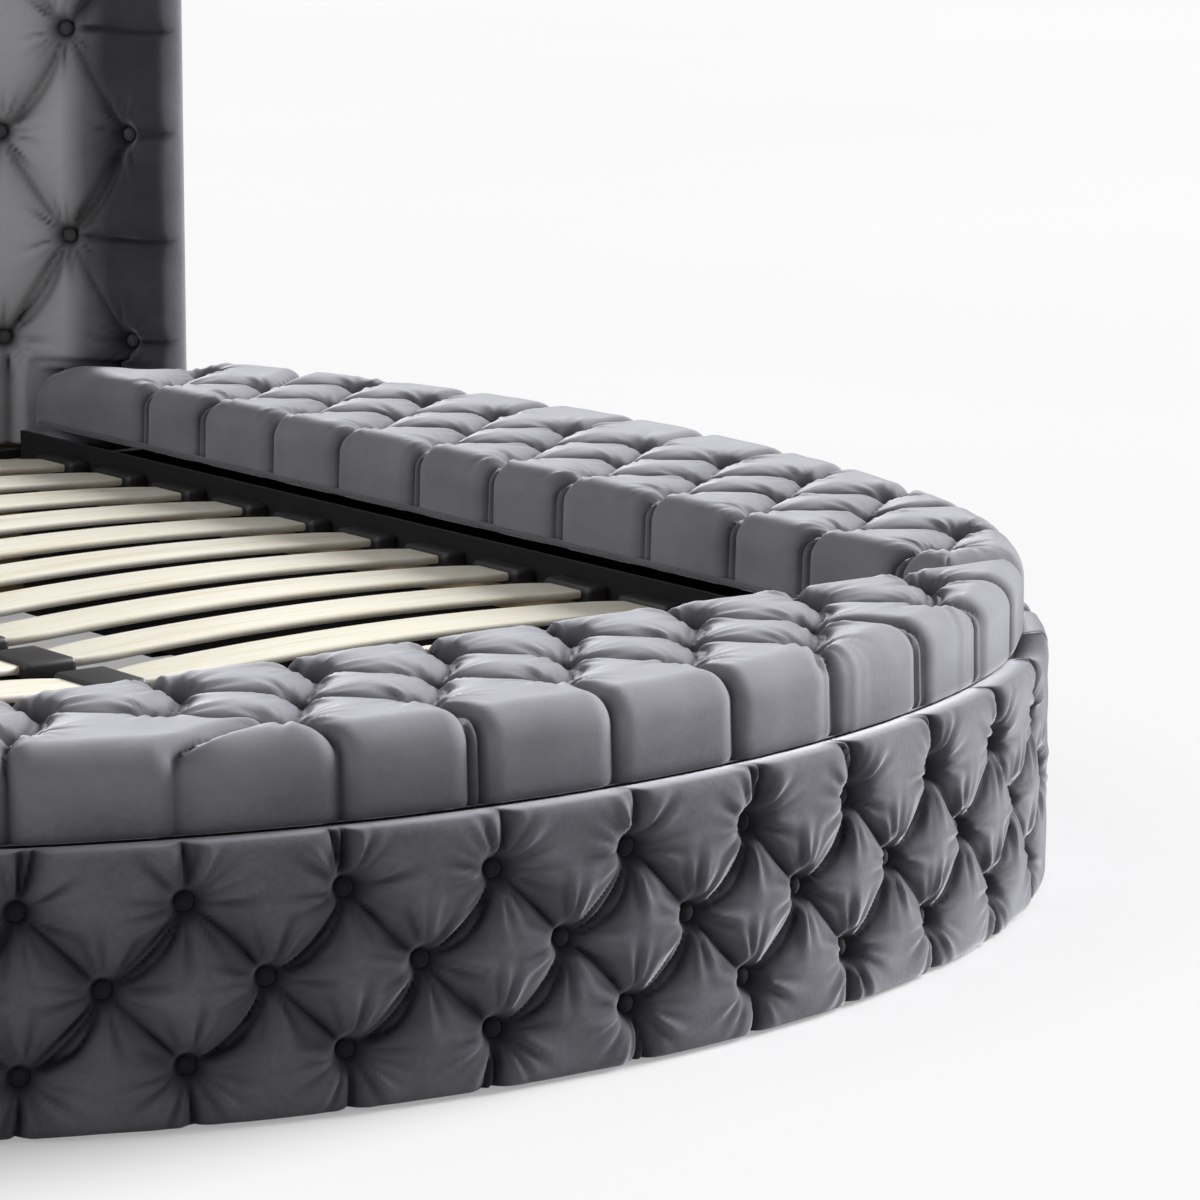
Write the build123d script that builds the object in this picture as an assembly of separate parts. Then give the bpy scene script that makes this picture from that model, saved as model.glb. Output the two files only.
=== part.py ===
from build123d import *
import os
from math import asin, atan2, cos, degrees, hypot, radians, sin

# A round-fronted storage bed: three lift-up storage benches round a mattress well, and a curved
# headboard. The front points to -Y, the headboard stands at +Y, and the floor is at Z = 0.
# The origin is on the floor, under the middle of the overall length.

# Driving dimensions of the whole bed
MATTRESS_WIDTH = 1524.0
MATTRESS_GAP = 6.0
OVERALL_LENGTH = 2600.0
FOOT_DEPTH = 385.0
SEAT_SEAM_HEIGHT = 278.0
LID_THICKNESS = 88.0
HEADBOARD_HEIGHT = 1422.0

# Plan of the base: tangent arcs that start at the middle of the foot and turn towards the head
FRONT_RADIUS = 1330.0
CORNER_RADIUS = 930.0
SIDE_RADIUS = 2400.0
FRONT_TURN = 28.0
CORNER_TURN = 75.0
SIDE_TURN = 130.0

# Plan of the headboard's padded face: tangent arcs that start at the middle and turn forwards
HEAD_RADIUS = 2200.0
WING_RADIUS = 280.0
HEAD_TURN = 18.5
WING_TURN = 90.0
TIP_TURN = 78.0
HEADBOARD_THICKNESS = 84.0

# Boards, padding and cloth
WALL_BOARD = 18.0
FLOOR_BOARD = 9.0
LID_BOARD = 15.0
LINING = 6.0
SIDE_PADDING = 30.0
SIDE_CROWN = 8.0
SIDE_CROWN_HEIGHT = 18.0
HEAD_PADDING = 42.0
HEAD_BACKING = 12.0
HEAD_TOP_PADDING = 17.0
HEAD_TIP_PADDING = 45.0
HEAD_EDGE_BEVEL = 16.0
FACET_DEPTH = 6.0

# Heights and running gaps
GLIDE_HEIGHT = 10.0
GLIDE_RADIUS = 18.0
HEAD_GLIDE_TURNS = (0, 18, 45)
LID_REST_HEIGHT = 6.0
COVER_GAP = 8.0
LID_SWING_GAP = 24.0
LINING_LIP_GAP = 12.0
FLOOR_LIFT = 20.0
PAD_FOOT_GAP = 4.0

# Lids
LID_INSET = 20.0
LID_GAP = 8.0
LID_HEAD_GAP = 10.0
LID_TIP_GAP = 12.0
LID_TAIL_GAP = 12.0
SWING_CLEARANCE = 3.0
LID_SHOULDER = 24.0
LID_CORNER = 24.0
LID_CROWN = 8.0
LID_SHOULDER_TAPER = 28.0
LID_CROWN_TAPER = 63.0
LID_BOARD_MARGIN = 14.0
REST_LENGTH = 24.0
REST_WIDTH = 12.0
REST_TURNS = (0, 18, 36, 58, 76, 88, 100)

# Hinges: goose-neck arms that rise from the well's walls into pockets in the lids
HINGE_IN = 52.0
HINGE_UP = 50.0
HINGE_REACH = 80.0
HINGE_DIP = 44.0
HINGE_ELBOW_IN = 10.0
HINGE_ELBOW_DROP = 48.0
HINGE_FOOT_DROP = 8.0
ARM_WIDTH = 16.0
ARM_THICKNESS = 8.0
ARM_SIDE_GAP = 1.5
ARM_PLATE_HEIGHT = 70.0
ARM_PLATE_WIDTH = 40.0
ARM_PLATE_THICKNESS = 6.0
HUB_RADIUS = 11.0
ARM_FACETS = 8
PIN_FACETS = 12
PIN_RADIUS = 4.0
PIN_GAP = 0.5
CHEEK_THICKNESS = 3.0
CHEEK_HALF = 14.0
CHEEK_RISE = 10.0
CHEEK_FLANGE = 14.0
POCKET_GAP = 6.0
HINGE_PLACES = 2

# Slatted base
SLAT_PITCH = 146.6
SLAT_WIDTH = 84.0
SLAT_FACETS = 3
SLAT_THICKNESS = 10.0
SLAT_BOW = 14.0
SLAT_TOP_DROP = 36.0
RAIL_WIDTH = 26.0
RAIL_HEIGHT = 30.0
CAP_LENGTH = 34.0
CAP_WIDTH = 92.0
CAP_WALL = 6.0
SLAT_SEAT = 18.0
BEAM_WIDTH = 80.0
BEAM_HEIGHT = 40.0
LEG_WIDTH = 40.0
LEG_COUNT = 3
SHELF_BOARD = 12.0

# Buttons and the dimples that they pull in
TUFT_PITCH = 158.0
TUFT_SHIFT = 50.0
TUFT_ROWS = (215.0, 137.0, 59.0)
TUFT_END_GAP = 45.0
DIMPLE_RADIUS = 30.0
DIMPLE_FLOOR = 17.5
DIMPLE_OVERRUN = 10.0
DIMPLE_SIDES = 4
SIDE_DIMPLE_DEPTH = 17.0
LID_DIMPLE_DEPTH = 28.0
HEAD_DIMPLE_DEPTH = 30.0
BUTTON_RADIUS = 12.0
BUTTON_HEIGHT = 7.0
BUTTON_SIDES = 6
HEX_SIDES = 6
LID_ROW_PITCH = 95.0
LID_FIRST_ROW = 62.0
LID_EDGE_MARGIN = 48.0
HEAD_TUFT_PITCH = 172.0
HEAD_ROW_PITCH = 142.0
HEAD_FIRST_ROW = 178.0
HEAD_EDGE_MARGIN = 35.0

# Fixings
BOLT_RADIUS = 8.0
BOLT_HEAD_HEIGHT = 5.0
BOLT_ROWS = 2
OVERRUN = 3000.0
NEAR = 1.0

# Places worked out from the sizes above
FRONT_Y = -OVERALL_LENGTH / 2
HEAD_FACE_Y = OVERALL_LENGTH / 2 - HEADBOARD_THICKNESS
CHORD_Y = FRONT_Y + FOOT_DEPTH
WELL_X = MATTRESS_WIDTH / 2 + MATTRESS_GAP
WALL_TOP = SEAT_SEAM_HEIGHT - LID_REST_HEIGHT
COVER_TOP = SEAT_SEAM_HEIGHT - COVER_GAP
INNER_TOP = SEAT_SEAM_HEIGHT - LID_SWING_GAP
LINING_TOP = SEAT_SEAM_HEIGHT - LINING_LIP_GAP
LID_TOP = SEAT_SEAM_HEIGHT + LID_THICKNESS
WALL_IN = SIDE_PADDING + WALL_BOARD
HINGE_Z = SEAT_SEAM_HEIGHT + HINGE_UP
SLAT_TOP = SEAT_SEAM_HEIGHT - SLAT_TOP_DROP
SLAT_FOOT = SLAT_TOP - SLAT_THICKNESS
PAD_FOOT = SLAT_TOP + PAD_FOOT_GAP
CORE_TOP = HEADBOARD_HEIGHT - HEAD_TOP_PADDING
SWING_RADIUS = hypot(HINGE_IN, HINGE_UP)
RAIL_TOP = SLAT_FOOT - CAP_WALL
FOOT_WALL_Y = CHORD_Y - LINING - WALL_BOARD
SIDE_FRONT_Y = CHORD_Y + LID_GAP


def chain(start_y, side, radii, turns):
    """Centres of tangent arcs from (0, start_y): side is -1 for the foot and 1 for the head."""
    x, y = 0, start_y - side * radii[0]
    arcs = [(x, y, radii[0], 0, turns[0])]
    for before, radius, turn, turn_end in zip(radii, radii[1:], turns, turns[1:]):
        x += (before - radius) * sin(radians(turn))
        y += side * (before - radius) * cos(radians(turn))
        arcs.append((x, y, radius, turn, turn_end))
    return side, arcs


PLAN_RADII = (FRONT_RADIUS, CORNER_RADIUS, SIDE_RADIUS)
PLAN_TURNS = (FRONT_TURN, CORNER_TURN, SIDE_TURN)
PLAN = chain(FRONT_Y, -1, PLAN_RADII, PLAN_TURNS)
HEAD = chain(HEAD_FACE_Y, 1, (HEAD_RADIUS, WING_RADIUS), (HEAD_TURN, WING_TURN))
TIP_INSET = degrees(HEAD_TIP_PADDING / WING_RADIUS)


def point_at(outline, turn, offset):
    """The point of an outline where its tangent has turned by turn, moved outwards by offset."""
    side, arcs = outline
    x, y, radius, _, _ = next(arc for arc in arcs if turn <= arc[-1])
    reach = radius + offset
    return x + reach * sin(radians(turn)), y + side * reach * cos(radians(turn))


TIP_Y = point_at(HEAD, TIP_TURN, 0)[1]


def turn_at(outline, length):
    """The turn reached after an arc length from the middle of the outline."""
    left = abs(length)
    for _, _, radius, turn, turn_end in outline[1]:
        arc_length = radius * radians(turn_end - turn)
        if left <= arc_length:
            return turn + degrees(left / radius)
        left -= arc_length
    return outline[1][-1][-1]


def outline_length(outline):
    """The arc length of one half of an outline."""
    return sum(radius * radians(end - start) for _, _, radius, start, end in outline[1])


def outline_face(outline, offset):
    """The region inside an outline moved outwards by offset, closed straight across or along."""
    side, arcs = outline
    right = []
    left = []
    for _, _, _, start, end in arcs:
        places = [point_at(outline, turn, offset) for turn in ((start + end) / 2, end)]
        first = right[-1] @ 1 if right else Vector(*point_at(outline, start, offset))
        right.append(ThreePointArc(first, places[0], places[1]))
        mirrored_first = Vector(-first.X, first.Y)
        left.append(ThreePointArc(mirrored_first, *[(-x, y) for x, y in places]))
    end_x, end_y = point_at(outline, arcs[-1][-1], offset)
    far_y = -OVERRUN if side > 0 else end_y
    if side > 0:
        closing = [Polyline((end_x, end_y), (end_x, far_y), (-end_x, far_y), (-end_x, end_y))]
    else:
        closing = [Line((end_x, end_y), (-end_x, end_y))]
    return make_face(Curve() + right + left + closing)


def zone(x_from, x_to, y_from, y_to):
    """A rectangle in plan between two places on each axis."""
    corner = Rectangle(x_to - x_from, y_to - y_from, align=(Align.MIN, Align.MIN))
    return Pos(x_from, y_from) * corner


def slab(face, bottom, top):
    """A plan face made solid between two heights."""
    return extrude(Pos(0, 0, bottom) * face, top - bottom)


def block(x_from, x_to, y_from, y_to, bottom, top):
    """A rectangular board between two places on each axis."""
    return slab(zone(x_from, x_to, y_from, y_to), bottom, top)


def mirrored(shape):
    """The left-hand twin of a right-hand piece."""
    return mirror(shape, about=Plane.YZ)


def band_face(outline, inner, outer):
    """The strip of plan between two offsets of an outline."""
    return outline_face(outline, outer) - outline_face(outline, inner)


def facetted_face(outline, flat, shift):
    """The region inside an outline made of flats, one for each button column and each gap."""
    places = along_outline(outline, flat, shift + flat / 2, 0, lambda x, y: True)
    corners = [(x, y) for x, y, _ in places]
    if outline[0] > 0:
        corners = [(corners[-1][0], -OVERRUN), *reversed(corners), (corners[0][0], -OVERRUN)]
    return Polygon(*corners, align=None)


# Where each bench lies in plan
RIGHT_ZONE = zone(0, OVERRUN, CHORD_Y, TIP_Y)
FOOT_ZONE = zone(-OVERRUN, OVERRUN, -OVERRUN, CHORD_Y)


def outer_wall(bench_zone):
    """The bent plywood wall of one bench, inside its padding."""
    return slab(band_face(PLAN, -WALL_IN, -SIDE_PADDING) & bench_zone, GLIDE_HEIGHT, WALL_TOP)


def side_cover(bench_zone):
    """The padded velvet skin round one bench, drawn in towards its seam and its hem."""
    plan = facetted_face(PLAN, TUFT_PITCH / 2, TUFT_SHIFT)
    taper = degrees(atan2(SIDE_CROWN, SIDE_CROWN_HEIGHT))
    drawn_in = extrude(plan, SIDE_CROWN_HEIGHT, taper=taper)
    hem = Pos(0, 0, GLIDE_HEIGHT + SIDE_CROWN_HEIGHT) * mirror(drawn_in, about=Plane.XY)
    upright = slab(plan, GLIDE_HEIGHT + SIDE_CROWN_HEIGHT, COVER_TOP - SIDE_CROWN_HEIGHT)
    top = Pos(0, 0, COVER_TOP - SIDE_CROWN_HEIGHT) * drawn_in
    inside = slab(outline_face(PLAN, -SIDE_PADDING), 0, COVER_TOP)
    return (hem + upright + top - inside) & slab(bench_zone, 0, COVER_TOP + SIDE_CROWN)


def side_inner_wall():
    """The straight plywood wall between the right bench and the mattress well."""
    wall = block(WELL_X + LINING, WELL_X + LINING + WALL_BOARD, CHORD_Y, OVERRUN, GLIDE_HEIGHT, INNER_TOP)
    return wall & slab(outline_face(HEAD, -PAD_FOOT_GAP), 0, INNER_TOP)


def side_lining():
    """The cloth-covered board that faces the well on the right, with its lip above the wall."""
    head_y = point_at(HEAD, turn_for_x(HEAD, WELL_X + LINING), 0)[1] - MATTRESS_GAP
    return block(WELL_X, WELL_X + LINING, CHORD_Y, head_y, GLIDE_HEIGHT, LINING_TOP)


def turn_for_x(outline, x):
    """The turn at which the unmoved outline reaches a place across the bed."""
    for centre_x, _, radius, start, end in outline[1]:
        share = (x - centre_x) / radius
        if share <= sin(radians(end)):
            return degrees(asin(share))
    return outline[1][-1][-1]


def foot_inner_wall():
    """The plywood wall across the bed between the foot bench and the well."""
    region = outline_face(PLAN, -WALL_IN) & zone(-OVERRUN, OVERRUN, FOOT_WALL_Y, CHORD_Y - LINING)
    return slab(region, GLIDE_HEIGHT, INNER_TOP)


def foot_lining():
    """The cloth-covered board that faces the well across the foot."""
    return block(-WELL_X, WELL_X, CHORD_Y - LINING, CHORD_Y, GLIDE_HEIGHT, LINING_TOP)


def side_end_panel(y_from, y_to):
    """A plywood panel that closes one end of the right bench."""
    region = outline_face(PLAN, -WALL_IN) & zone(WELL_X + LINING + WALL_BOARD, OVERRUN, y_from, y_to)
    return slab(region, GLIDE_HEIGHT, INNER_TOP)


def bench_floor(region):
    """The thin board that things are stored on."""
    inside = outline_face(PLAN, -WALL_IN) & region
    bottom = GLIDE_HEIGHT + FLOOR_LIFT
    return slab(inside, bottom, bottom + FLOOR_BOARD)


def along_outline(outline, pitch, shift, offset, keep):
    """Turns, sides and places of buttons at a pitch along an outline, where keep allows them."""
    half = outline_length(outline)
    count = int(half / pitch) + 1
    found = []
    for number in range(-count, count + 1):
        length = number * pitch + shift
        if abs(length) >= half:
            continue
        turn = turn_at(outline, length)
        x, y = point_at(outline, turn, offset)
        hand = 1 if length >= 0 else -1
        if keep(hand * x, y):
            normal = Vector(hand * sin(radians(turn)), outline[0] * cos(radians(turn)), 0)
            found.append((hand * x, y, normal))
    return found


def pointed(radius, sides, height):
    """A facetted cone that tapers to nothing over its height."""
    corners = [Vector(radius, 0, 0).rotate(Axis.Z, number * 360 / sides) for number in range(sides)]
    tip = Vector(0, 0, height)
    slopes = []
    for number, corner in enumerate(corners):
        following = corners[(number + 1) % sides]
        slopes.append(Face(Wire.make_polygon([corner, following, tip])))
    return Solid(Shell([Face(Wire.make_polygon(corners)), *slopes]))


def dimple(place, depth):
    """The diamond-shaped funnel that a button pulls into the padding, with a flat floor."""
    height = depth + DIMPLE_OVERRUN
    spread = (DIMPLE_RADIUS - DIMPLE_FLOOR) / depth
    mouth = DIMPLE_FLOOR + spread * height
    taper = degrees(atan2(spread * cos(radians(180 / DIMPLE_SIDES)), 1))
    funnel = extrude(RegularPolygon(mouth, DIMPLE_SIDES), height, taper=taper)
    return place * Pos(0, 0, height) * Rot(180, 0, 0) * funnel


def button(place):
    """A covered button, as a low facetted point on the floor of its dimple."""
    return place * pointed(BUTTON_RADIUS, BUTTON_SIDES, BUTTON_HEIGHT)


def side_tuft_places(keep):
    """Planes on the dimple floors round the base: every second row is moved by half a pitch."""
    places = []
    for row, height in enumerate(TUFT_ROWS):
        shift = TUFT_SHIFT + (TUFT_PITCH / 2 if row % 2 else 0)
        for x, y, normal in along_outline(PLAN, TUFT_PITCH, shift, -SIDE_DIMPLE_DEPTH, keep):
            places.append(Plane(origin=(x, y, height), z_dir=normal))
    return places


def in_foot(x, y):
    return y < CHORD_Y - TUFT_END_GAP


def in_right(x, y):
    return x > 0 and CHORD_Y + TUFT_END_GAP < y < TIP_Y - TUFT_END_GAP


def in_left(x, y):
    return in_right(-x, y)


# Plan of the lids: inside the base's outline, and in front of the headboard's face
def facetted(region, flat):
    """The same plan with every arc made of flats no longer than flat."""
    wire = region.faces()[0].outer_wire().order_edges()
    lengths = [edge.length for edge in wire]
    total = sum(lengths)
    path = Wire(wire)
    corners = []
    begun = 0
    for edge, length in zip(wire, lengths):
        count = 1 if edge.geom_type == GeomType.LINE else max(2, round(length / flat))
        corners += [path.position_at((begun + length * step / count) / total) for step in range(count)]
        begun += length
    return Polygon(*[(corner.X, corner.Y) for corner in corners], align=None)


def rounded(region, radius):
    """A plan region with every corner rounded, first the hollow ones and then the others."""
    grown = offset(region, radius, kind=Kind.ARC)
    shrunk = offset(grown, -2 * radius, kind=Kind.INTERSECTION)
    return offset(shrunk, radius, kind=Kind.ARC)


LID_PLAN = outline_face(PLAN, -LID_INSET)
TAIL_Y = point_at(HEAD, turn_for_x(HEAD, WELL_X), 0)[1] - LID_TAIL_GAP
TAIL_REGION = outline_face(HEAD, -LID_HEAD_GAP) & zone(-OVERRUN, OVERRUN, -OVERRUN, TAIL_Y)
BEFORE_HEAD = TAIL_REGION + zone(-OVERRUN, OVERRUN, -OVERRUN, TIP_Y - LID_TIP_GAP)
SIDE_LID_REGION = LID_PLAN & BEFORE_HEAD & zone(WELL_X, OVERRUN, SIDE_FRONT_Y, OVERRUN)
SIDE_LID_PLAN = facetted(rounded(SIDE_LID_REGION, LID_CORNER), TUFT_PITCH)
FOOT_LID_REGION = LID_PLAN & zone(-OVERRUN, OVERRUN, -OVERRUN, CHORD_Y)
FOOT_LID_PLAN = facetted(rounded(FOOT_LID_REGION, LID_CORNER), TUFT_PITCH)
SIDE_LID_WIDTH = SIDE_LID_PLAN.bounding_box().max.X - WELL_X
FOOT_LID_WIDTH = FOOT_DEPTH - LID_INSET


def foot_swing_room():
    """The space that the foot lid's rear edge turns through, as wide as that lid."""
    half = FOOT_LID_PLAN.bounding_box().max.X + SWING_CLEARANCE
    roll = Rot(0, 90, 0) * Cylinder(SWING_RADIUS + SWING_CLEARANCE, 2 * half)
    return Pos(0, CHORD_Y - HINGE_IN, HINGE_Z) * roll


def lid_cushion(plan, places, pockets, board):
    """A soft lid top: crowned, with eased shoulders, dimples, and room for board and hinges."""
    upright = slab(plan, SEAT_SEAM_HEIGHT, LID_TOP - LID_SHOULDER)
    shoulder = extrude(Pos(0, 0, LID_TOP - LID_SHOULDER) * plan, LID_SHOULDER, taper=LID_SHOULDER_TAPER)
    crown = extrude(shoulder.faces().sort_by(Axis.Z)[-1], LID_CROWN, taper=LID_CROWN_TAPER)
    blank = upright + shoulder + crown
    return blank - [dimple(place, LID_DIMPLE_DEPTH) for place in places] - pockets - board


def lid_board(plan_inset, slots):
    """The plywood board under a lid's cushion, slotted for its hinge arms."""
    return slab(plan_inset, SEAT_SEAM_HEIGHT, SEAT_SEAM_HEIGHT + LID_BOARD) - slots


def hinge_frame(x, y, turn):
    """A hinge's own axes at its pin: X points into the bench, Y along the pin, Z up."""
    return Pos(x, y, HINGE_Z) * Rot(0, 0, turn)


def between_buttons(length, pitch):
    """Hinge places along a lid, each moved to the nearest gap between two button columns."""
    step = length / HINGE_PLACES
    return [pitch * round(step * (number + 1 / 2) / pitch) for number in range(HINGE_PLACES)]


def side_hinge_frames():
    """Hinges along the right lid's straight edge."""
    places = between_buttons(TIP_Y - SIDE_FRONT_Y, TUFT_PITCH)
    return [hinge_frame(WELL_X + HINGE_IN, SIDE_FRONT_Y + place, 0) for place in places]


def foot_hinge_frames():
    """Hinges along the foot lid's straight edge."""
    first_gap = TUFT_SHIFT - TUFT_PITCH * (int(WELL_X / TUFT_PITCH) + 1 / 2)
    turn = -90
    places = between_buttons(-2 * first_gap, TUFT_PITCH)
    return [hinge_frame(first_gap + place, CHORD_Y - HINGE_IN, turn) for place in places]


def arm_profile():
    """The goose neck in its own plane: hub, elbow under the lid, and a foot at the wall."""
    hub = (0, 0)
    elbow = (HINGE_REACH, -HINGE_DIP)
    heel = (HINGE_REACH - HINGE_ELBOW_IN, -HINGE_DIP - HINGE_ELBOW_DROP)
    foot = (LINING + WALL_BOARD - HINGE_IN, heel[1] - HINGE_FOOT_DROP)
    limb = Polyline(hub, elbow, heel, foot)
    joint = RegularPolygon(ARM_WIDTH / 2, ARM_FACETS)
    joints = [Pos(*elbow) * joint, Pos(*heel) * joint, RegularPolygon(HUB_RADIUS, ARM_FACETS)]
    profile = trace(limb, ARM_WIDTH) + joints
    return profile - RegularPolygon(PIN_RADIUS + PIN_GAP, PIN_FACETS)


def hinge_arm(frame):
    """A fixed goose-neck arm with its screw plate on the wall."""
    plane = Plane(origin=(0, 0, 0), x_dir=(1, 0, 0), z_dir=(0, -1, 0))
    neck = extrude(plane * arm_profile(), ARM_THICKNESS / 2, both=True)
    wall_x = LINING + WALL_BOARD - HINGE_IN
    top = -HINGE_UP - LID_SWING_GAP - ARM_WIDTH
    half = ARM_PLATE_WIDTH / 2
    plate = block(wall_x, wall_x + ARM_PLATE_THICKNESS, -half, half, top - ARM_PLATE_HEIGHT, top)
    neck = neck & block(wall_x, OVERRUN, -ARM_PLATE_WIDTH, ARM_PLATE_WIDTH, -OVERRUN, OVERRUN)
    return frame * (neck + plate)


def hinge_cheeks(frame):
    """The pair of flanged plates on the lid's board that a hinge pin is riveted between."""
    inner = ARM_THICKNESS / 2 + ARM_SIDE_GAP
    seat = -HINGE_UP + LID_BOARD
    plate = block(-CHEEK_HALF, CHEEK_HALF, inner, inner + CHEEK_THICKNESS, seat, CHEEK_RISE)
    flange = block(-CHEEK_HALF, CHEEK_HALF, inner, inner + CHEEK_FLANGE, seat, seat + CHEEK_THICKNESS)
    cheek = plate + flange
    return frame * cheek, frame * mirror(cheek, about=Plane.XZ)


def hinge_pin(frame):
    """The pin between a lid's cheeks, which turns in the arm's hub."""
    length = ARM_THICKNESS + 2 * ARM_SIDE_GAP
    return frame * Rot(90, 0, 0) * extrude(RegularPolygon(PIN_RADIUS, PIN_FACETS), length / 2, both=True)


def hinge_room(frame, half_width):
    """The wedge of space that a fixed arm sweeps inside its lid."""
    reach = HINGE_REACH + ARM_WIDTH + POCKET_GAP
    back = HUB_RADIUS + 2 * POCKET_GAP
    top = HUB_RADIUS + POCKET_GAP
    floor = -HINGE_UP - POCKET_GAP
    corners = [(-back, floor), (-back, top), (top, top), (reach, -HINGE_DIP + ARM_WIDTH), (reach, floor)]
    face = Plane(origin=(0, 0, 0), x_dir=(1, 0, 0), z_dir=(0, -1, 0)) * Polygon(*corners, align=None)
    return frame * extrude(face, half_width, both=True)


def lid_rests(plan_places):
    """Small pads on top of the outer walls that the closed lids lie on."""
    pads = []
    for x, y, turn in plan_places:
        pad = Box(REST_LENGTH, REST_WIDTH, LID_REST_HEIGHT, align=(Align.CENTER, Align.CENTER, Align.MIN))
        pads.append(Pos(x, y, WALL_TOP) * Rot(0, 0, turn) * pad)
    return pads


def slat_places():
    """The middle of each slat along the bed."""
    count = int((head_panel_y() - CHORD_Y) / SLAT_PITCH)
    return [CHORD_Y + SLAT_PITCH * (number + 1 / 2) for number in range(count)]


def head_panel_y():
    """The front face of the board across the head of the well."""
    return point_at(HEAD, turn_for_x(HEAD, WELL_X), 0)[1]


def slat():
    """One sprung birch slat of the right half, bowed up over a few straight facets."""
    inner = CAP_LENGTH - SLAT_SEAT
    outer = WELL_X - CAP_LENGTH + SLAT_SEAT
    step = (outer - inner) / SLAT_FACETS
    shares = [number / SLAT_FACETS for number in range(SLAT_FACETS + 1)]
    rises = [4 * share * (1 - share) * SLAT_BOW for share in shares]
    upper = [(inner + step * number, SLAT_TOP + rise) for number, rise in enumerate(rises)]
    lower = [(x, z - SLAT_THICKNESS) for x, z in reversed(upper)]
    return extrude(Plane.XZ * Polygon(*upper, *lower, align=None), SLAT_WIDTH / 2, both=True)


def slat_cap(x_from, x_to, slats):
    """A plastic holder that grips slat ends and sits on its rail or beam."""
    cap = block(x_from, x_to, -CAP_WIDTH / 2, CAP_WIDTH / 2, RAIL_TOP, SLAT_TOP + CAP_WALL)
    return cap - slats


def repeated(shape, places):
    """Copies of a shape along the bed."""
    return [Pos(0, y, 0) * shape for y in places]


def headboard_band(inner, outer, tip_turn, bottom, top):
    """A curved strip of the headboard between two offsets of its face, cut square at its tips."""
    wings = (HEAD[0], [*HEAD[1][:-1], (*HEAD[1][-1][:-1], tip_turn)])
    lead, trail = point_at(wings, tip_turn, -OVERRUN / 2), point_at(wings, tip_turn, OVERRUN / 2)
    behind = Polygon(lead, trail, (0, 2 * OVERRUN), (-trail[0], trail[1]), (-lead[0], lead[1]), align=None)
    return slab(band_face(HEAD, inner, outer) & behind, bottom, top)


def headboard_foot(inner, outer):
    """The part of a headboard strip below the seat, cut flat against the benches' rear panels."""
    behind_lids = zone(-OVERRUN, OVERRUN, TIP_Y, OVERRUN)
    return slab(band_face(HEAD, inner, outer) & behind_lids, GLIDE_HEIGHT, PAD_FOOT)


def headboard_core():
    """The bent plywood core, with legs that reach down beside the benches."""
    inner = HEAD_PADDING
    outer = HEADBOARD_THICKNESS - HEAD_BACKING
    upper = headboard_band(inner, outer, TIP_TURN - TIP_INSET, PAD_FOOT, CORE_TOP)
    return upper + headboard_foot(inner, outer)


def headboard_back():
    """The thinly padded cloth cover of the headboard's outer side."""
    outer = HEADBOARD_THICKNESS
    inner = outer - HEAD_BACKING
    upper = headboard_band(inner, outer, TIP_TURN - TIP_INSET, PAD_FOOT, CORE_TOP)
    return upper + headboard_foot(inner, outer)


def headboard_tuft_places():
    """Planes on the dimple floors of the headboard's hollow face."""
    places = []
    height = HEADBOARD_HEIGHT - HEAD_FIRST_ROW
    row = 0
    while height > LID_TOP + HEAD_EDGE_MARGIN / 2:
        shift = 0 if row % 2 else HEAD_TUFT_PITCH / 2
        keep = lambda x, y: y > TIP_Y + HEAD_EDGE_MARGIN
        for x, y, normal in along_outline(HEAD, HEAD_TUFT_PITCH, shift, HEAD_DIMPLE_DEPTH, keep):
            places.append(Plane(origin=(x, y, height), z_dir=-normal))
        height -= HEAD_ROW_PITCH
        row += 1
    return places


def tail_swing_room():
    """The space below the lids' tops that the tails of the side lids turn through."""
    length = TAIL_Y + SWING_CLEARANCE - TIP_Y
    roll = Rot(90, 0, 0) * Cylinder(SWING_RADIUS + SWING_CLEARANCE, length)
    middle = Pos(WELL_X + HINGE_IN, TIP_Y + length / 2, HINGE_Z)
    return both_sides([middle * roll & block(0, OVERRUN, TIP_Y, TAIL_Y + OVERRUN, 0, LID_TOP)])


def headboard_pad(places):
    """The deep padding of the hollow face, which wraps over the top and the wing tips."""
    whole = headboard_band(-FACET_DEPTH, HEADBOARD_THICKNESS, TIP_TURN, PAD_FOOT, HEADBOARD_HEIGHT)
    upright = whole.edges().filter_by(Axis.Z)
    tips = upright.filter_by(lambda edge: edge.center().Y < TIP_Y + HEAD_TIP_PADDING)
    whole = chamfer(tips, HEAD_EDGE_BEVEL)
    whole = chamfer(whole.faces().sort_by(Axis.Z)[-1].edges(), HEAD_EDGE_BEVEL)
    face = slab(facetted_face(HEAD, HEAD_TUFT_PITCH / 2, 0), 0, OVERRUN)
    hollow = headboard_band(HEAD_PADDING, OVERRUN / 2, TIP_TURN - TIP_INSET, PAD_FOOT, CORE_TOP)
    whole = whole - face - hollow - tail_swing_room()
    return whole - [dimple(place, HEAD_DIMPLE_DEPTH) for place in places]


def outline_ring(turns, offset):
    """Places and headings on both sides of the base at given turns."""
    found = []
    for turn in turns:
        x, y = point_at(PLAN, turn, offset)
        found.append((x, y, turn))
        if x > NEAR:
            found.append((-x, y, -turn))
    return found


def glide(x, y):
    """A low foot under a board or a leg."""
    return block(x - GLIDE_RADIUS, x + GLIDE_RADIUS, y - GLIDE_RADIUS, y + GLIDE_RADIUS, 0, GLIDE_HEIGHT)


def bolt_head(x, y, z, heading):
    """A hexagonal bolt head that lies flat on a board."""
    head = extrude(RegularPolygon(BOLT_RADIUS, HEX_SIDES), BOLT_HEAD_HEIGHT)
    return Plane(origin=(x, y, z), z_dir=heading) * head


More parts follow.
